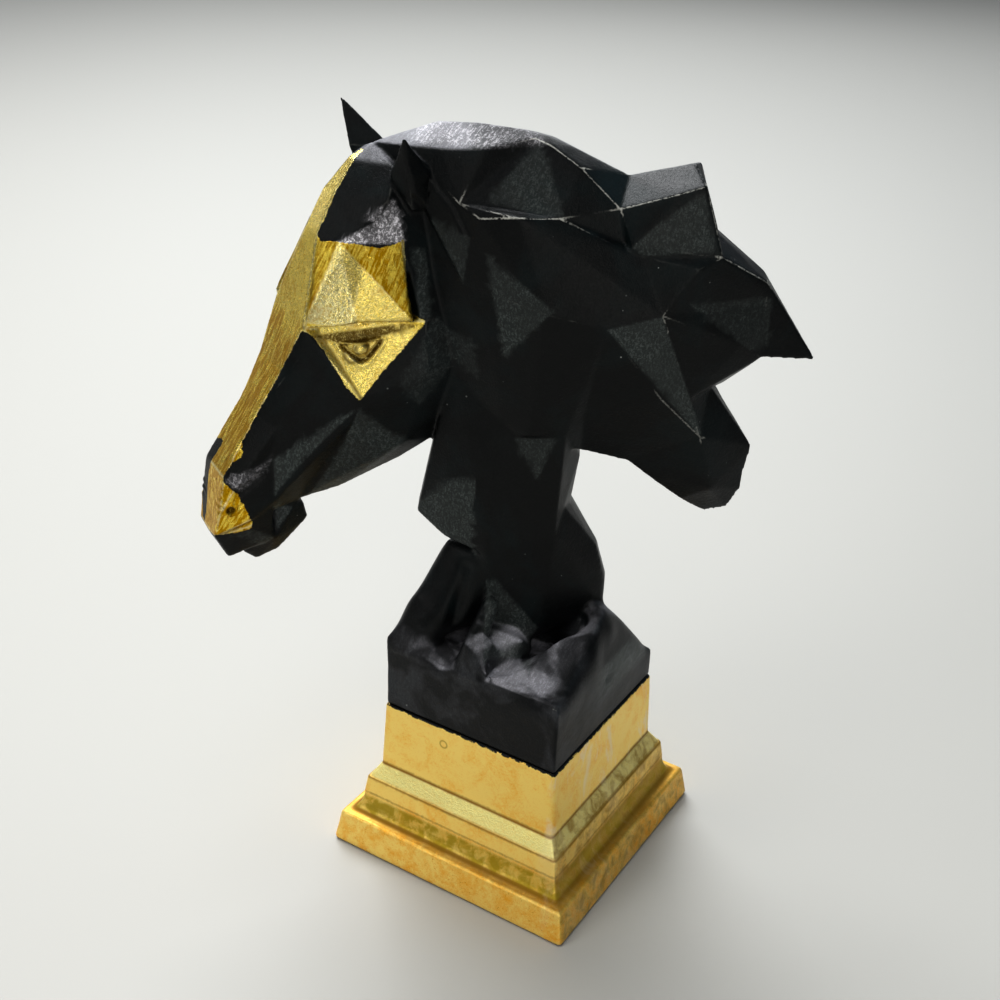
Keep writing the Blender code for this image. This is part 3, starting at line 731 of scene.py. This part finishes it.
def square_ring(half, corner, count):
    """A square with round corners as points around it: the nearest points of the square's
    straight sides to a circle, pushed out by the corner radius."""
    angle = (np.arange(count) + 0.5) * 2 * np.pi / count
    reach = np.tan(np.clip(((angle + np.pi / 4) % (np.pi / 2)) - np.pi / 4, -0.7854, 0.7854))
    side = np.floor((angle + np.pi / 4) / (np.pi / 2)).astype(int) % 4
    flat = half - corner
    along = np.clip(reach * half, -flat, flat)
    over = reach * half - along
    bend = np.clip(over / max(corner, 1e-6), -1, 1) * (np.pi / 4)
    outward = flat + corner * np.cos(bend)
    along = along + corner * np.sin(bend)
    turn = side * (np.pi / 2)
    return np.stack([outward * np.cos(turn) - along * np.sin(turn),
                     outward * np.sin(turn) + along * np.cos(turn)], axis=1)


def painted_shade_lines(height):
    """Distance to the plinth's nearest line of painted shade, in mm, by height alone: under the
    block, under the chamfer, at the cove's top and foot and at the floor. The second number of
    each line makes it fainter."""
    lines = ((CHAMFER_TOP + 0.3, 0.0), (BAND_TOP - 0.5, 0.35), (COVE_TOP + 0.4, 0.5),
             (SLAB_TOP + 0.7, 0.0), (0.3, 0.3))
    return np.min([np.abs(height - at) + start for at, start in lines], axis=0)


def plinth_profile(settings):
    """The plinth's half widths and heights, in metres, from the middle of its underside up its
    side to the middle of its top: straight runs, quarter rounds at the slab's edges, a quarter
    of an ellipse for the cove and a small round under the chamfer."""
    slab, cove, band, chamfer = (top * MM for top in (SLAB_TOP, COVE_TOP, BAND_TOP, CHAMFER_TOP))
    foot, shoulder = settings.slab_width / 2, settings.slab_top_width / 2
    inner, block = settings.cove_width / 2, settings.block_width / 2
    corner, draft, lip, edge = 0.0016, 0.0011, 0.0008, 0.0003
    profile = [(share * foot, 0.0) for share in (0.0, 0.3, 0.7, 0.9, 0.97)]
    for turn in np.linspace(0, np.pi / 2, 5):
        profile.append((foot - corner + corner * math.sin(turn), corner - corner * math.cos(turn)))
    for t in np.linspace(0.08, 1.0, 16):
        profile.append((foot + (shoulder - foot) * t, corner + (slab - 2 * corner) * t))
    for turn in np.linspace(0.2, np.pi / 2, 5):
        profile.append((shoulder - corner + corner * math.cos(turn),
                        slab - corner + corner * math.sin(turn)))
    start = shoulder - 0.0022
    for turn in np.linspace(0.0, np.pi / 2, 14):
        profile.append((inner + (start - inner) * (1 - math.sin(turn)),
                        slab + (cove - slab) * (1 - math.cos(turn))))
    for t in np.linspace(0.08, 0.9, 8):
        profile.append((inner - draft * t, cove + (band - cove) * t))
    for turn in np.linspace(0, np.pi / 2, 4):
        profile.append((inner - draft - lip + lip * math.cos(turn),
                        band - lip + lip * math.sin(turn)))
    ledge = inner - draft - lip
    for t in np.linspace(0.1, 0.95, 9):
        profile.append((ledge + (block - ledge) * t, band + (chamfer - band) * t))
    seat = block - 0.0012
    rise = PLINTH_TOP - 3 * edge - chamfer
    for t in np.linspace(0.0, 1.0, 26):
        profile.append((block + (seat - block) * t, chamfer + rise * t))
    profile.append((seat - edge, PLINTH_TOP - edge))
    return profile + [(share * seat, PLINTH_TOP) for share in (0.975, 0.9, 0.7, 0.3, 0.0)]


def build_plinth(settings):
    """The plinth as one closed surface: at each point of its profile a square ring with round
    corners is laid, and the rings are joined. The surface is then moved outwards by low smooth
    lumps, the handling marks."""
    profile = plinth_profile(settings)
    count = 400
    rings = []
    for width, height in profile:
        ring = square_ring(max(width, 1e-5), min(0.0016, width * 0.5), count)
        rings.append(np.column_stack([ring, np.full(count, height)]))
    i, j = np.meshgrid(np.arange(len(profile) - 1), np.arange(count), indexing="ij")
    after = (j + 1) % count
    faces = np.stack([i * count + j, i * count + after, (i + 1) * count + after,
                      (i + 1) * count + j], axis=-1).reshape(-1, 4)
    mesh = bpy.data.meshes.new("plinth_block")
    mesh.from_pydata(np.concatenate(rings), [], faces)
    shape = bmesh.new()
    shape.from_mesh(mesh)
    bmesh.ops.remove_doubles(shape, verts=shape.verts, dist=0.00003)
    bmesh.ops.recalc_face_normals(shape, faces=shape.faces)
    shape.to_mesh(mesh)
    shape.free()
    points, normals = as_points(mesh), as_normals(mesh)
    z = points[:, 2]
    # Distance to the lines of painted shade, which the paint darkens
    put_attribute(mesh, "fold_distance", painted_shade_lines(z / MM))
    rise = smoothstep(0.0, 0.003, z) * smoothstep(PLINTH_TOP, PLINTH_TOP - 0.002, z)
    wave = lumps(points, 0.017, 11) * 0.6 + lumps(points, 0.006, 12) * 0.4
    points = points + normals * (wave * settings.dents * rise)[:, None]
    mesh.vertices.foreach_set("co", points.ravel())
    mesh.update()
    mesh.shade_smooth()
    return placed("plinth_block", mesh)


class Nodes:
    """A short way to place and join a node tree's nodes. A value is a number, a colour, or
    another node's output."""

    def __init__(self, tree):
        self.tree = tree
        self.count = 0

    def feed(self, value, socket):
        if isinstance(value, bpy.types.NodeSocket):
            self.tree.links.new(value, socket)
        else:
            socket.default_value = value

    def add(self, kind, inputs=None, **settings):
        item = self.tree.nodes.new(kind)
        item.location = (220 * (self.count % 8), -260 * (self.count // 8))
        self.count += 1
        for name, value in settings.items():
            setattr(item, name, value)
        for name, value in (inputs or {}).items():
            self.feed(value, item.inputs[name])
        return item

    def math(self, operation, a, b=0.0, clamp=False):
        item = self.add("ShaderNodeMath", {0: a, 1: b}, operation=operation, use_clamp=clamp)
        return item.outputs[0]

    def times(self, first, *others):
        for other in others:
            first = self.math("MULTIPLY", first, other)
        return first

    def plus(self, first, *others):
        for other in others:
            first = self.math("ADD", first, other)
        return first

    def minus(self, a, b):
        return self.math("SUBTRACT", a, b)

    def most(self, a, b):
        return self.math("MAXIMUM", a, b)

    def near(self, distance, reach):
        """1 at no distance, falling evenly to 0 at the reach."""
        return self.math("SUBTRACT", 1.0, self.math("DIVIDE", distance, reach), clamp=True)

    def ramp(self, value, low, high, to_low=0.0, to_high=1.0, kind="SMOOTHSTEP"):
        inputs = {"Value": value, "From Min": low, "From Max": high, "To Min": to_low,
                  "To Max": to_high}
        return self.add("ShaderNodeMapRange", inputs, interpolation_type=kind).outputs["Result"]

    def mix(self, factor, a, b):
        """One colour over another."""
        return self.add("ShaderNodeMix", {0: factor, 6: a, 7: b}, data_type="RGBA").outputs[2]

    def blend(self, factor, a, b):
        """One number over another."""
        return self.add("ShaderNodeMix", {0: factor, 2: a, 3: b}, data_type="FLOAT").outputs[0]

    def noise(self, place, scale, detail=3.0, rough=0.55, bend=0.0):
        inputs = {"Vector": place, "Scale": scale, "Detail": detail, "Roughness": rough,
                  "Distortion": bend}
        return self.add("ShaderNodeTexNoise", inputs).outputs["Fac"]

    def stretch(self, place, scale, rotation=(0.0, 0.0, 0.0)):
        inputs = {"Vector": place, "Rotation": rotation, "Scale": scale}
        return self.add("ShaderNodeMapping", inputs).outputs[0]

    def attribute(self, name, output="Fac"):
        return self.add("ShaderNodeAttribute", attribute_name=name).outputs[output]

    def use(self, group, **inputs):
        """Places a shared effect in a material and returns its outputs."""
        item = self.add("ShaderNodeGroup", node_tree=bpy.data.node_groups[group])
        for name, value in inputs.items():
            self.feed(value, item.inputs[name])
        return item.outputs


def colour(value):
    """A setting's colour with full opacity."""
    return (*value, 1.0)


def new_group(name, takes, gives):
    """A shader node group with named sockets. An input's kind follows its first value: a number,
    a colour, or none for a place. Returns the group's nodes and its two ends."""
    group = bpy.data.node_groups.new(name, "ShaderNodeTree")
    for socket, value in takes.items():
        kind = "Vector" if value is None else "Color" if isinstance(value, tuple) else "Float"
        made = group.interface.new_socket(socket, in_out="INPUT", socket_type="NodeSocket" + kind)
        if value is not None:
            made.default_value = value
    for socket in gives:
        kind = "Color" if socket == "Color" else "Float"
        group.interface.new_socket(socket, in_out="OUTPUT", socket_type="NodeSocket" + kind)
    n = Nodes(group)
    return n, n.add("NodeGroupInput").outputs, n.add("NodeGroupOutput").inputs


def ragged_edge_group():
    """A mask from a distance: 1 inside, 0 outside, with a border torn by two sizes of noise."""
    n, take, give = new_group(
        "ragged edge", {"Place": None, "Distance": 0.0, "Tear": 0.8, "Sharpness": 0.12}, ["Mask"])
    wide = n.minus(n.noise(take["Place"], 330.0, 2.0, 0.6), 0.5)
    fine = n.minus(n.noise(take["Place"], 1500.0, 3.0, 0.65), 0.5)
    tear = n.plus(n.times(wide, 1.6), n.times(fine, 1.3))
    torn = n.plus(take["Distance"], n.times(tear, take["Tear"]))
    low = n.times(take["Sharpness"], -1.0)
    n.feed(n.ramp(torn, low, take["Sharpness"], kind="LINEAR"), give["Mask"])


def edge_wear_and_highlight_group():
    """Where a ridge is rubbed pale, which also paints its highlight: near it, broken up by noise,
    stronger where asked.
    """
    n, take, give = new_group(
        "edge wear", {"Place": None, "Ridge": 8.0, "Strength": 0.5, "Width": 0.45}, ["Mask"])
    rough = n.noise(take["Place"], 900.0, 3.0, 0.6)
    patchy = n.noise(take["Place"], 120.0, 2.0, 0.5)
    width = n.times(take["Width"], n.plus(n.times(rough, 1.4), 0.25))
    kept = n.ramp(n.plus(patchy, n.times(take["Strength"], 0.45)), 0.5, 0.72)
    mask = n.times(n.near(take["Ridge"], width), kept)
    mask = n.math("MULTIPLY", mask, take["Strength"], clamp=True)
    n.feed(n.math("POWER", mask, 0.7), give["Mask"])


def brushed_grain_group():
    """Height of the paint's grain, in mm: crossed wrinkles and short brush strokes. Also where
    the brush ran dry, dust specks, and large patches."""
    n, take, give = new_group(
        "brushed grain", {"Place": None, "Depth": 1.0}, ["Height", "Dry", "Specks", "Patches"])
    wrinkle = n.noise(take["Place"], 900.0, 3.0, 0.66, 1.4)
    pulled = n.stretch(take["Place"], (1.0, 0.14, 0.4), (0.4, 0.3, 0.9))
    strokes = n.noise(pulled, 1500.0, 2.0, 0.6)
    height = n.plus(n.times(wrinkle, 0.16), n.times(strokes, 0.07))
    n.feed(n.times(height, take["Depth"]), give["Height"])
    mixed = n.plus(n.times(wrinkle, 0.6), n.times(strokes, 0.4))
    n.feed(n.ramp(mixed, 0.46, 0.64), give["Dry"])
    cells = n.add("ShaderNodeTexVoronoi", {"Vector": take["Place"], "Scale": 260.0})
    pick = n.add("ShaderNodeSeparateColor", {"Color": cells.outputs["Color"]}).outputs[0]
    speck = n.math("LESS_THAN", cells.outputs["Distance"], n.ramp(pick, 0.70, 1.0, 0.0, 0.095))
    patches = n.noise(take["Place"], 42.0, 3.0, 0.6, 0.6)
    n.feed(n.times(speck, n.ramp(patches, 0.50, 0.62)), give["Specks"])
    n.feed(patches, give["Patches"])


def gold_leaf_group():
    """Antique leaf: light and deep tones in flecks and patches, ridges that are burnished and
    also painted as a highlight, places painted pale as a highlight, a brown wash in folds and
    where it is asked for, and its wrinkles' height in mm."""
    n, take, give = new_group(
        "gold leaf",
        {"Place": None, "Light": (0.93, 0.78, 0.36, 1), "Deep": (0.5, 0.32, 0.035, 1),
         "Wash": (0.09, 0.045, 0.004, 1), "Ridge": 8.0, "Fold": 8.0, "Washed": 0.0, "Stain": 0.5,
         "Pale": 0.0, "Crumple": 1.0},
        ["Color", "Rough", "Height"])
    fine = n.noise(take["Place"], 1250.0, 3.0, 0.66, 1.3)
    wide = n.noise(take["Place"], 330.0, 3.0, 0.6, 1.6)
    patch = n.noise(take["Place"], 75.0, 3.0, 0.6, 0.8)
    height = n.plus(n.times(fine, 0.20), n.times(wide, 0.30))
    n.feed(n.times(height, take["Crumple"]), give["Height"])
    tone = n.plus(n.times(patch, 0.45), n.times(fine, 0.35), n.times(wide, 0.2))
    low = n.plus(0.28, n.times(take["Stain"], 0.22))
    clean = n.ramp(tone, low, n.plus(low, 0.22), kind="LINEAR")
    base = n.mix(clean, take["Deep"], take["Light"])
    # Paler on the ridges: burnished leaf, and also a painted highlight
    rubbed = n.near(take["Ridge"], n.times(wide, 1.5))
    pale_highlight = n.times(take["Pale"], n.ramp(fine, 0.38, 0.56, 0.25, 1.0))
    base = n.mix(n.times(n.most(rubbed, pale_highlight), 0.8), base, TONES["highlight gold"])
    inside = n.near(take["Fold"], n.plus(n.times(wide, 2.2), 0.2))
    pits = n.times(n.ramp(fine, 0.40, 0.30), take["Stain"])
    asked = n.times(take["Washed"], n.ramp(fine, 0.72, 0.5, 0.25, 1.0))
    washed = n.most(n.times(inside, 0.9), n.most(pits, asked))
    n.feed(n.mix(washed, base, take["Wash"]), give["Color"])
    rough = n.plus(0.24, n.times(n.minus(1.0, clean), 0.12))
    n.feed(n.plus(rough, n.times(washed, 0.22)), give["Rough"])


def new_material(name):
    """A material with one Principled shader. Returns it, its nodes, the shader and the place."""
    material = bpy.data.materials.new(name)
    material.use_nodes = True
    material.node_tree.nodes.clear()
    n = Nodes(material.node_tree)
    shader = n.add("ShaderNodeBsdfPrincipled")
    n.add("ShaderNodeOutputMaterial", {0: shader.outputs[0]})
    return material, n, shader, n.add("ShaderNodeTexCoord").outputs["Object"]


def finish_paint(n, shader, color, rough, metallic, specular, height, strength):
    """Joins a paint's colour, gloss and grain to its shader."""
    bump = n.add("ShaderNodeBump", {"Height": height, "Strength": strength, "Distance": MM})
    for name, value in (("Base Color", color), ("Roughness", rough), ("Metallic", metallic),
                        ("Specular IOR Level", specular), ("Normal", bump.outputs[0])):
        n.feed(value, shader.inputs[name])


def casting_paint(paint):
    """Black lacquer, rubbed pale on its ridges, which also paints their highlight, with a painted
    glint, painted facet highlights and a painted sheen laid over it, and gold leaf inside the
    leaf's torn outline. The leaf's stain runs in streaks along the head."""
    material, n, shader, place = new_material("lacquer and leaf")
    ridge = n.attribute("ridge_distance")
    grain = n.use("brushed grain", Place=place, Depth=1.3)
    patches, dry = grain["Patches"], grain["Dry"]
    wear_and_highlight = n.use("edge wear", Place=place, Ridge=ridge, Strength=n.attribute("ridge_wear"))["Mask"]
    along = n.stretch(n.attribute("along_head", "Vector"), (0.12 * MM, MM, MM))
    streak = n.noise(along, 900.0, 3.0, 0.6, 0.4)
    stain = n.times(n.attribute("stain"), n.ramp(streak, 0.42, 0.58, 0.35, 2.0))
    gold = n.use("ragged edge", Place=place, Distance=n.attribute("leaf_distance"))["Mask"]
    leaf = n.use("gold leaf", Place=place, Light=colour(paint.leaf_light),
                 Deep=colour(paint.leaf_deep), Wash=colour(paint.wash), Ridge=ridge,
                 Fold=n.attribute("fold_distance"), Washed=n.attribute("brown_wash"),
                 Stain=stain, Pale=n.attribute("pale_leaf"))
    black = n.mix(n.ramp(patches, 0.45, 0.7), colour(paint.lacquer), TONES["teal black"])
    worked = n.times(dry, n.ramp(patches, 0.35, 0.65, 0.35, 1.0))
    # Painted highlight on the listed facets, a painted sheen and a painted glint, laid over the
    # black
    brushed = n.times(n.attribute("brushed"), n.plus(0.32, worked))
    bloom = n.times(n.attribute("bloom"), n.ramp(patches, 0.40, 0.58, 0.12, 1.0))
    rubbed = n.times(n.attribute("rubbed"), n.plus(0.2, n.times(dry, 1.1)))
    for share, tone in (
            (n.times(worked, 0.5), TONES["dry black"]), (brushed, TONES["facet highlight black"]),
            (n.times(bloom, n.plus(0.6, n.times(dry, 0.4))), TONES["bloom"]),
            (n.times(rubbed, n.ramp(patches, 0.38, 0.55, 0.45, 1.0)), TONES["rubbed"]),
            (n.times(wear_and_highlight, 0.85), colour(paint.edge_wear_and_highlight)),
            (n.times(grain["Specks"], 0.5), TONES["speck"])):
        black = n.mix(share, black, tone)
    rough = n.blend(gold, n.plus(0.27, n.times(patches, 0.16)), leaf["Rough"])
    finish_paint(n, shader, n.mix(gold, black, leaf["Color"]), rough, gold, 0.15,
                 n.blend(gold, grain["Height"], leaf["Height"]), 0.75)
    return material


def plinth_paint(paint):
    """Antique gold paint: painted shade in brown in the hollows, along the moulding's lines and on
    the right side, olive in the cove, a painted highlight on the chamfer, with a drip, pale runs
    and black laid over its top edge."""
    material, n, shader, place = new_material("antique gold")
    x, y, z = n.add("ShaderNodeSeparateXYZ", {0: place}).outputs
    # On the plinth the folds are the lines of painted shade
    height, fold = n.times(z, 1.0 / MM), n.attribute("fold_distance")
    blotch = n.noise(place, 160.0, 4.0, 0.6, 0.5)
    below_block = n.ramp(height, CHAMFER_TOP + 0.5, CHAMFER_TOP - 1.0)
    chamfer = n.times(n.ramp(height, BAND_TOP - 0.5, BAND_TOP + 0.7),
                      n.ramp(height, CHAMFER_TOP + 0.2, CHAMFER_TOP - 1.0))
    stain = n.times(n.ramp(height, COVE_TOP + 1.0, COVE_TOP - 3.0), 0.5,
                    n.ramp(blotch, 0.35, 0.65))
    leaf = n.use("gold leaf", Place=place, Light=TONES["plinth light"],
                 Deep=TONES["plinth deep"], Wash=TONES["plinth wash"],
                 Stain=n.plus(stain, 0.1), Fold=fold, Pale=n.times(chamfer, 0.7),
                 Crumple=n.plus(0.28, n.times(chamfer, 1.1)))
    olive = n.times(n.ramp(height, SLAB_TOP - 0.5, SLAB_TOP + 1.5),
                    n.ramp(height, COVE_TOP, COVE_TOP - 2.5),
                    n.ramp(blotch, 0.35, 0.6, 0.35, 0.9))
    # Painted shade: the right side below the block, darkened in brown
    right = n.ramp(n.minus(x, n.math("ABSOLUTE", y)), -0.4 * MM, 0.6 * MM)
    shaded = n.times(right, below_block, n.ramp(blotch, 0.3, 0.62, 0.85, 0.25))
    runs = n.noise(n.stretch(place, (1.0, 1.0, 0.35)), 95.0, 4.0, 0.6, 1.0)
    runs = n.times(n.ramp(runs, 0.50, 0.66), n.ramp(x, 38.5 * MM, 41.0 * MM),
                   n.ramp(height, 38.0, 44.0, 0.15, 1.0))
    drip = n.add("ShaderNodeVectorMath", {0: place, 1: DRIP}, operation="DISTANCE")
    ring = n.near(n.math("ABSOLUTE", n.minus(drip.outputs["Value"], 1.7 * MM)), 0.6 * MM)
    base = leaf["Color"]
    # A painted highlight on the chamfer, and painted shade along the moulding's lines and on the
    # right side
    for share, tone in ((olive, "olive"), (n.times(chamfer, 0.55), "chamfer"),
                        (n.ramp(fold, 1.0, 0.3, 0.0, 0.6), "painted shade brown"),
                        (shaded, "shaded side"), (n.times(runs, 0.6), "pale run"),
                        (n.times(ring, 0.8), "drip ring")):
        base = n.mix(share, base, TONES[tone])
    rim = n.minus(height, PLINTH_TOP / MM - 0.7)
    black = n.use("ragged edge", Place=place, Distance=rim, Tear=1.3)["Mask"]
    rough = n.plus(leaf["Rough"], n.plus(0.14, n.times(runs, 0.15)))
    finish_paint(n, shader, n.mix(black, base, colour(paint.lacquer)),
                 n.blend(black, rough, 0.35), n.times(n.minus(1.0, black), 0.62), 0.22,
                 leaf["Height"], 0.7)
    return material


def soft_light(name, azimuth, elevation, distance, size, power, tone):
    """A rectangular light facing the object. Azimuth 0 is +Y and 90 is +X, in degrees."""
    lamp = bpy.data.lights.new(name, "AREA")
    lamp.shape = "RECTANGLE"
    lamp.size, lamp.size_y = size
    lamp.energy = power
    lamp.color = tone
    item = placed(name, lamp)
    a, e = math.radians(azimuth), math.radians(elevation)
    away = Vector((math.sin(a) * math.cos(e), math.cos(a) * math.cos(e), math.sin(e)))
    item.location = LIGHTS_AIM + away * distance
    item.rotation_euler = away.to_track_quat("Z", "Y").to_euler()
    return item


def camera_turn():
    """The camera's rotation: turned by its yaw, tipped down by its pitch, then rolled."""
    ahead = Vector((math.sin(CAMERA_YAW) * math.cos(CAMERA_PITCH),
                    math.cos(CAMERA_YAW) * math.cos(CAMERA_PITCH), -math.sin(CAMERA_PITCH)))
    right = Vector((math.cos(CAMERA_YAW), -math.sin(CAMERA_YAW), 0.0))
    up = right.cross(ahead)
    across = right * math.cos(CAMERA_ROLL) + up * math.sin(CAMERA_ROLL)
    over = up * math.cos(CAMERA_ROLL) - right * math.sin(CAMERA_ROLL)
    return Matrix((across, over, -ahead)).transposed().to_4x4()


def build_stage(settings):
    """A pale floor, a large window light behind the object, softer ones around it, and the
    camera in front, turned 31 degrees and looking 30 degrees down."""
    scene = bpy.context.scene
    mesh = bpy.data.meshes.new("floor")
    mesh.from_pydata([(-4, -4, 0), (4, -4, 0), (4, 5, 0), (-4, 5, 0)], [], [(0, 1, 2, 3)])
    material, _, shader, _ = new_material("floor")
    shader.inputs["Base Color"].default_value = colour(settings.floor)
    shader.inputs["Roughness"].default_value = 0.6
    mesh.materials.append(material)
    placed("floor", mesh)
    scene.world = bpy.data.worlds.new("studio")
    scene.world.use_nodes = True
    sky = scene.world.node_tree.nodes["Background"].inputs
    sky["Color"].default_value = (0.80, 0.88, 1.0, 1)
    sky["Strength"].default_value = 0.13
    for name, azimuth, elevation, distance, size, power, tone in LIGHTS:
        power = getattr(settings, power) if isinstance(power, str) else power
        item = soft_light(name, azimuth, elevation, distance, size, power, tone)
        item.visible_glossy = name != "overhead"
    scene.cycles.max_bounces = 4
    scene.cycles.diffuse_bounces = 2
    scene.cycles.glossy_bounces = 2
    lens = bpy.data.cameras.new("camera")
    lens.sensor_width = 36.0
    lens.lens = settings.lens
    lens.clip_start = 0.01
    scene.camera = placed("camera", lens)
    scene.camera.matrix_world = Matrix.Translation(CAMERA_PLACE) @ camera_turn()
    scene.view_settings.view_transform = "Standard"
    scene.view_settings.gamma = 0.9


class SCULPTURE_OT_effects(bpy.types.Operator):
    """Build the shared paint effects."""
    bl_idname = "sculpture.effects"
    bl_label = "Paint effects"

    def execute(self, context):
        ragged_edge_group()
        edge_wear_and_highlight_group()
        brushed_grain_group()
        gold_leaf_group()
        return {"FINISHED"}


class SCULPTURE_OT_casting(bpy.types.Operator):
    """Build the rock, neck, mane and head as one painted piece."""
    bl_idname = "sculpture.casting"
    bl_label = "Casting"

    def execute(self, context):
        casting = build_casting(context.scene.sculpture_casting)
        casting.data.materials.append(casting_paint(context.scene.sculpture_paint))
        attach(casting, "root")
        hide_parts("horse_head")
        return {"FINISHED"}


class SCULPTURE_OT_plinth(bpy.types.Operator):
    """Build the moulded gold plinth."""
    bl_idname = "sculpture.plinth"
    bl_label = "Plinth"

    def execute(self, context):
        block = build_plinth(context.scene.sculpture_plinth)
        block.data.materials.append(plinth_paint(context.scene.sculpture_paint))
        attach(block, "root")
        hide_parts("plinth")
        return {"FINISHED"}


class SCULPTURE_OT_stage(bpy.types.Operator):
    """Build the floor, the lights and the camera."""
    bl_idname = "sculpture.stage"
    bl_label = "Stage"

    def execute(self, context):
        build_stage(context.scene.sculpture_stage)
        return {"FINISHED"}


class SCULPTURE_PT_panel(bpy.types.Panel):
    """Lists the sculpture's sizes, colours and operators."""
    bl_idname = "SCULPTURE_PT_panel"
    bl_label = "Horse head sculpture"
    bl_space_type = "VIEW_3D"
    bl_region_type = "UI"
    bl_category = "Sculpture"

    def draw(self, context):
        for name in ("casting", "paint", "plinth", "stage"):
            box = self.layout.box()
            settings = getattr(context.scene, "sculpture_" + name)
            for prop in settings.__annotations__:
                box.prop(settings, prop)
        for name in ("effects", "casting", "plinth", "stage"):
            self.layout.operator("sculpture." + name)


CLASSES = (CastingSettings, PaintSettings, PlinthSettings, StageSettings, SCULPTURE_OT_effects,
           SCULPTURE_OT_casting, SCULPTURE_OT_plinth, SCULPTURE_OT_stage, SCULPTURE_PT_panel)


def register():
    """Registers the classes and puts the settings on the scene."""
    for item in CLASSES:
        bpy.utils.register_class(item)
    scene = bpy.types.Scene
    scene.sculpture_casting = bpy.props.PointerProperty(type=CastingSettings)
    scene.sculpture_paint = bpy.props.PointerProperty(type=PaintSettings)
    scene.sculpture_plinth = bpy.props.PointerProperty(type=PlinthSettings)
    scene.sculpture_stage = bpy.props.PointerProperty(type=StageSettings)


def unregister():
    """Undoes what register did."""
    for name in ("casting", "paint", "plinth", "stage"):
        delattr(bpy.types.Scene, "sculpture_" + name)
    for item in reversed(CLASSES):
        bpy.utils.unregister_class(item)


def main():
    """Builds everything."""
    register()
    bpy.ops.sculpture.effects()
    bpy.ops.sculpture.casting()
    bpy.ops.sculpture.plinth()
    bpy.ops.sculpture.stage()


if __name__ == "__main__":
    main()
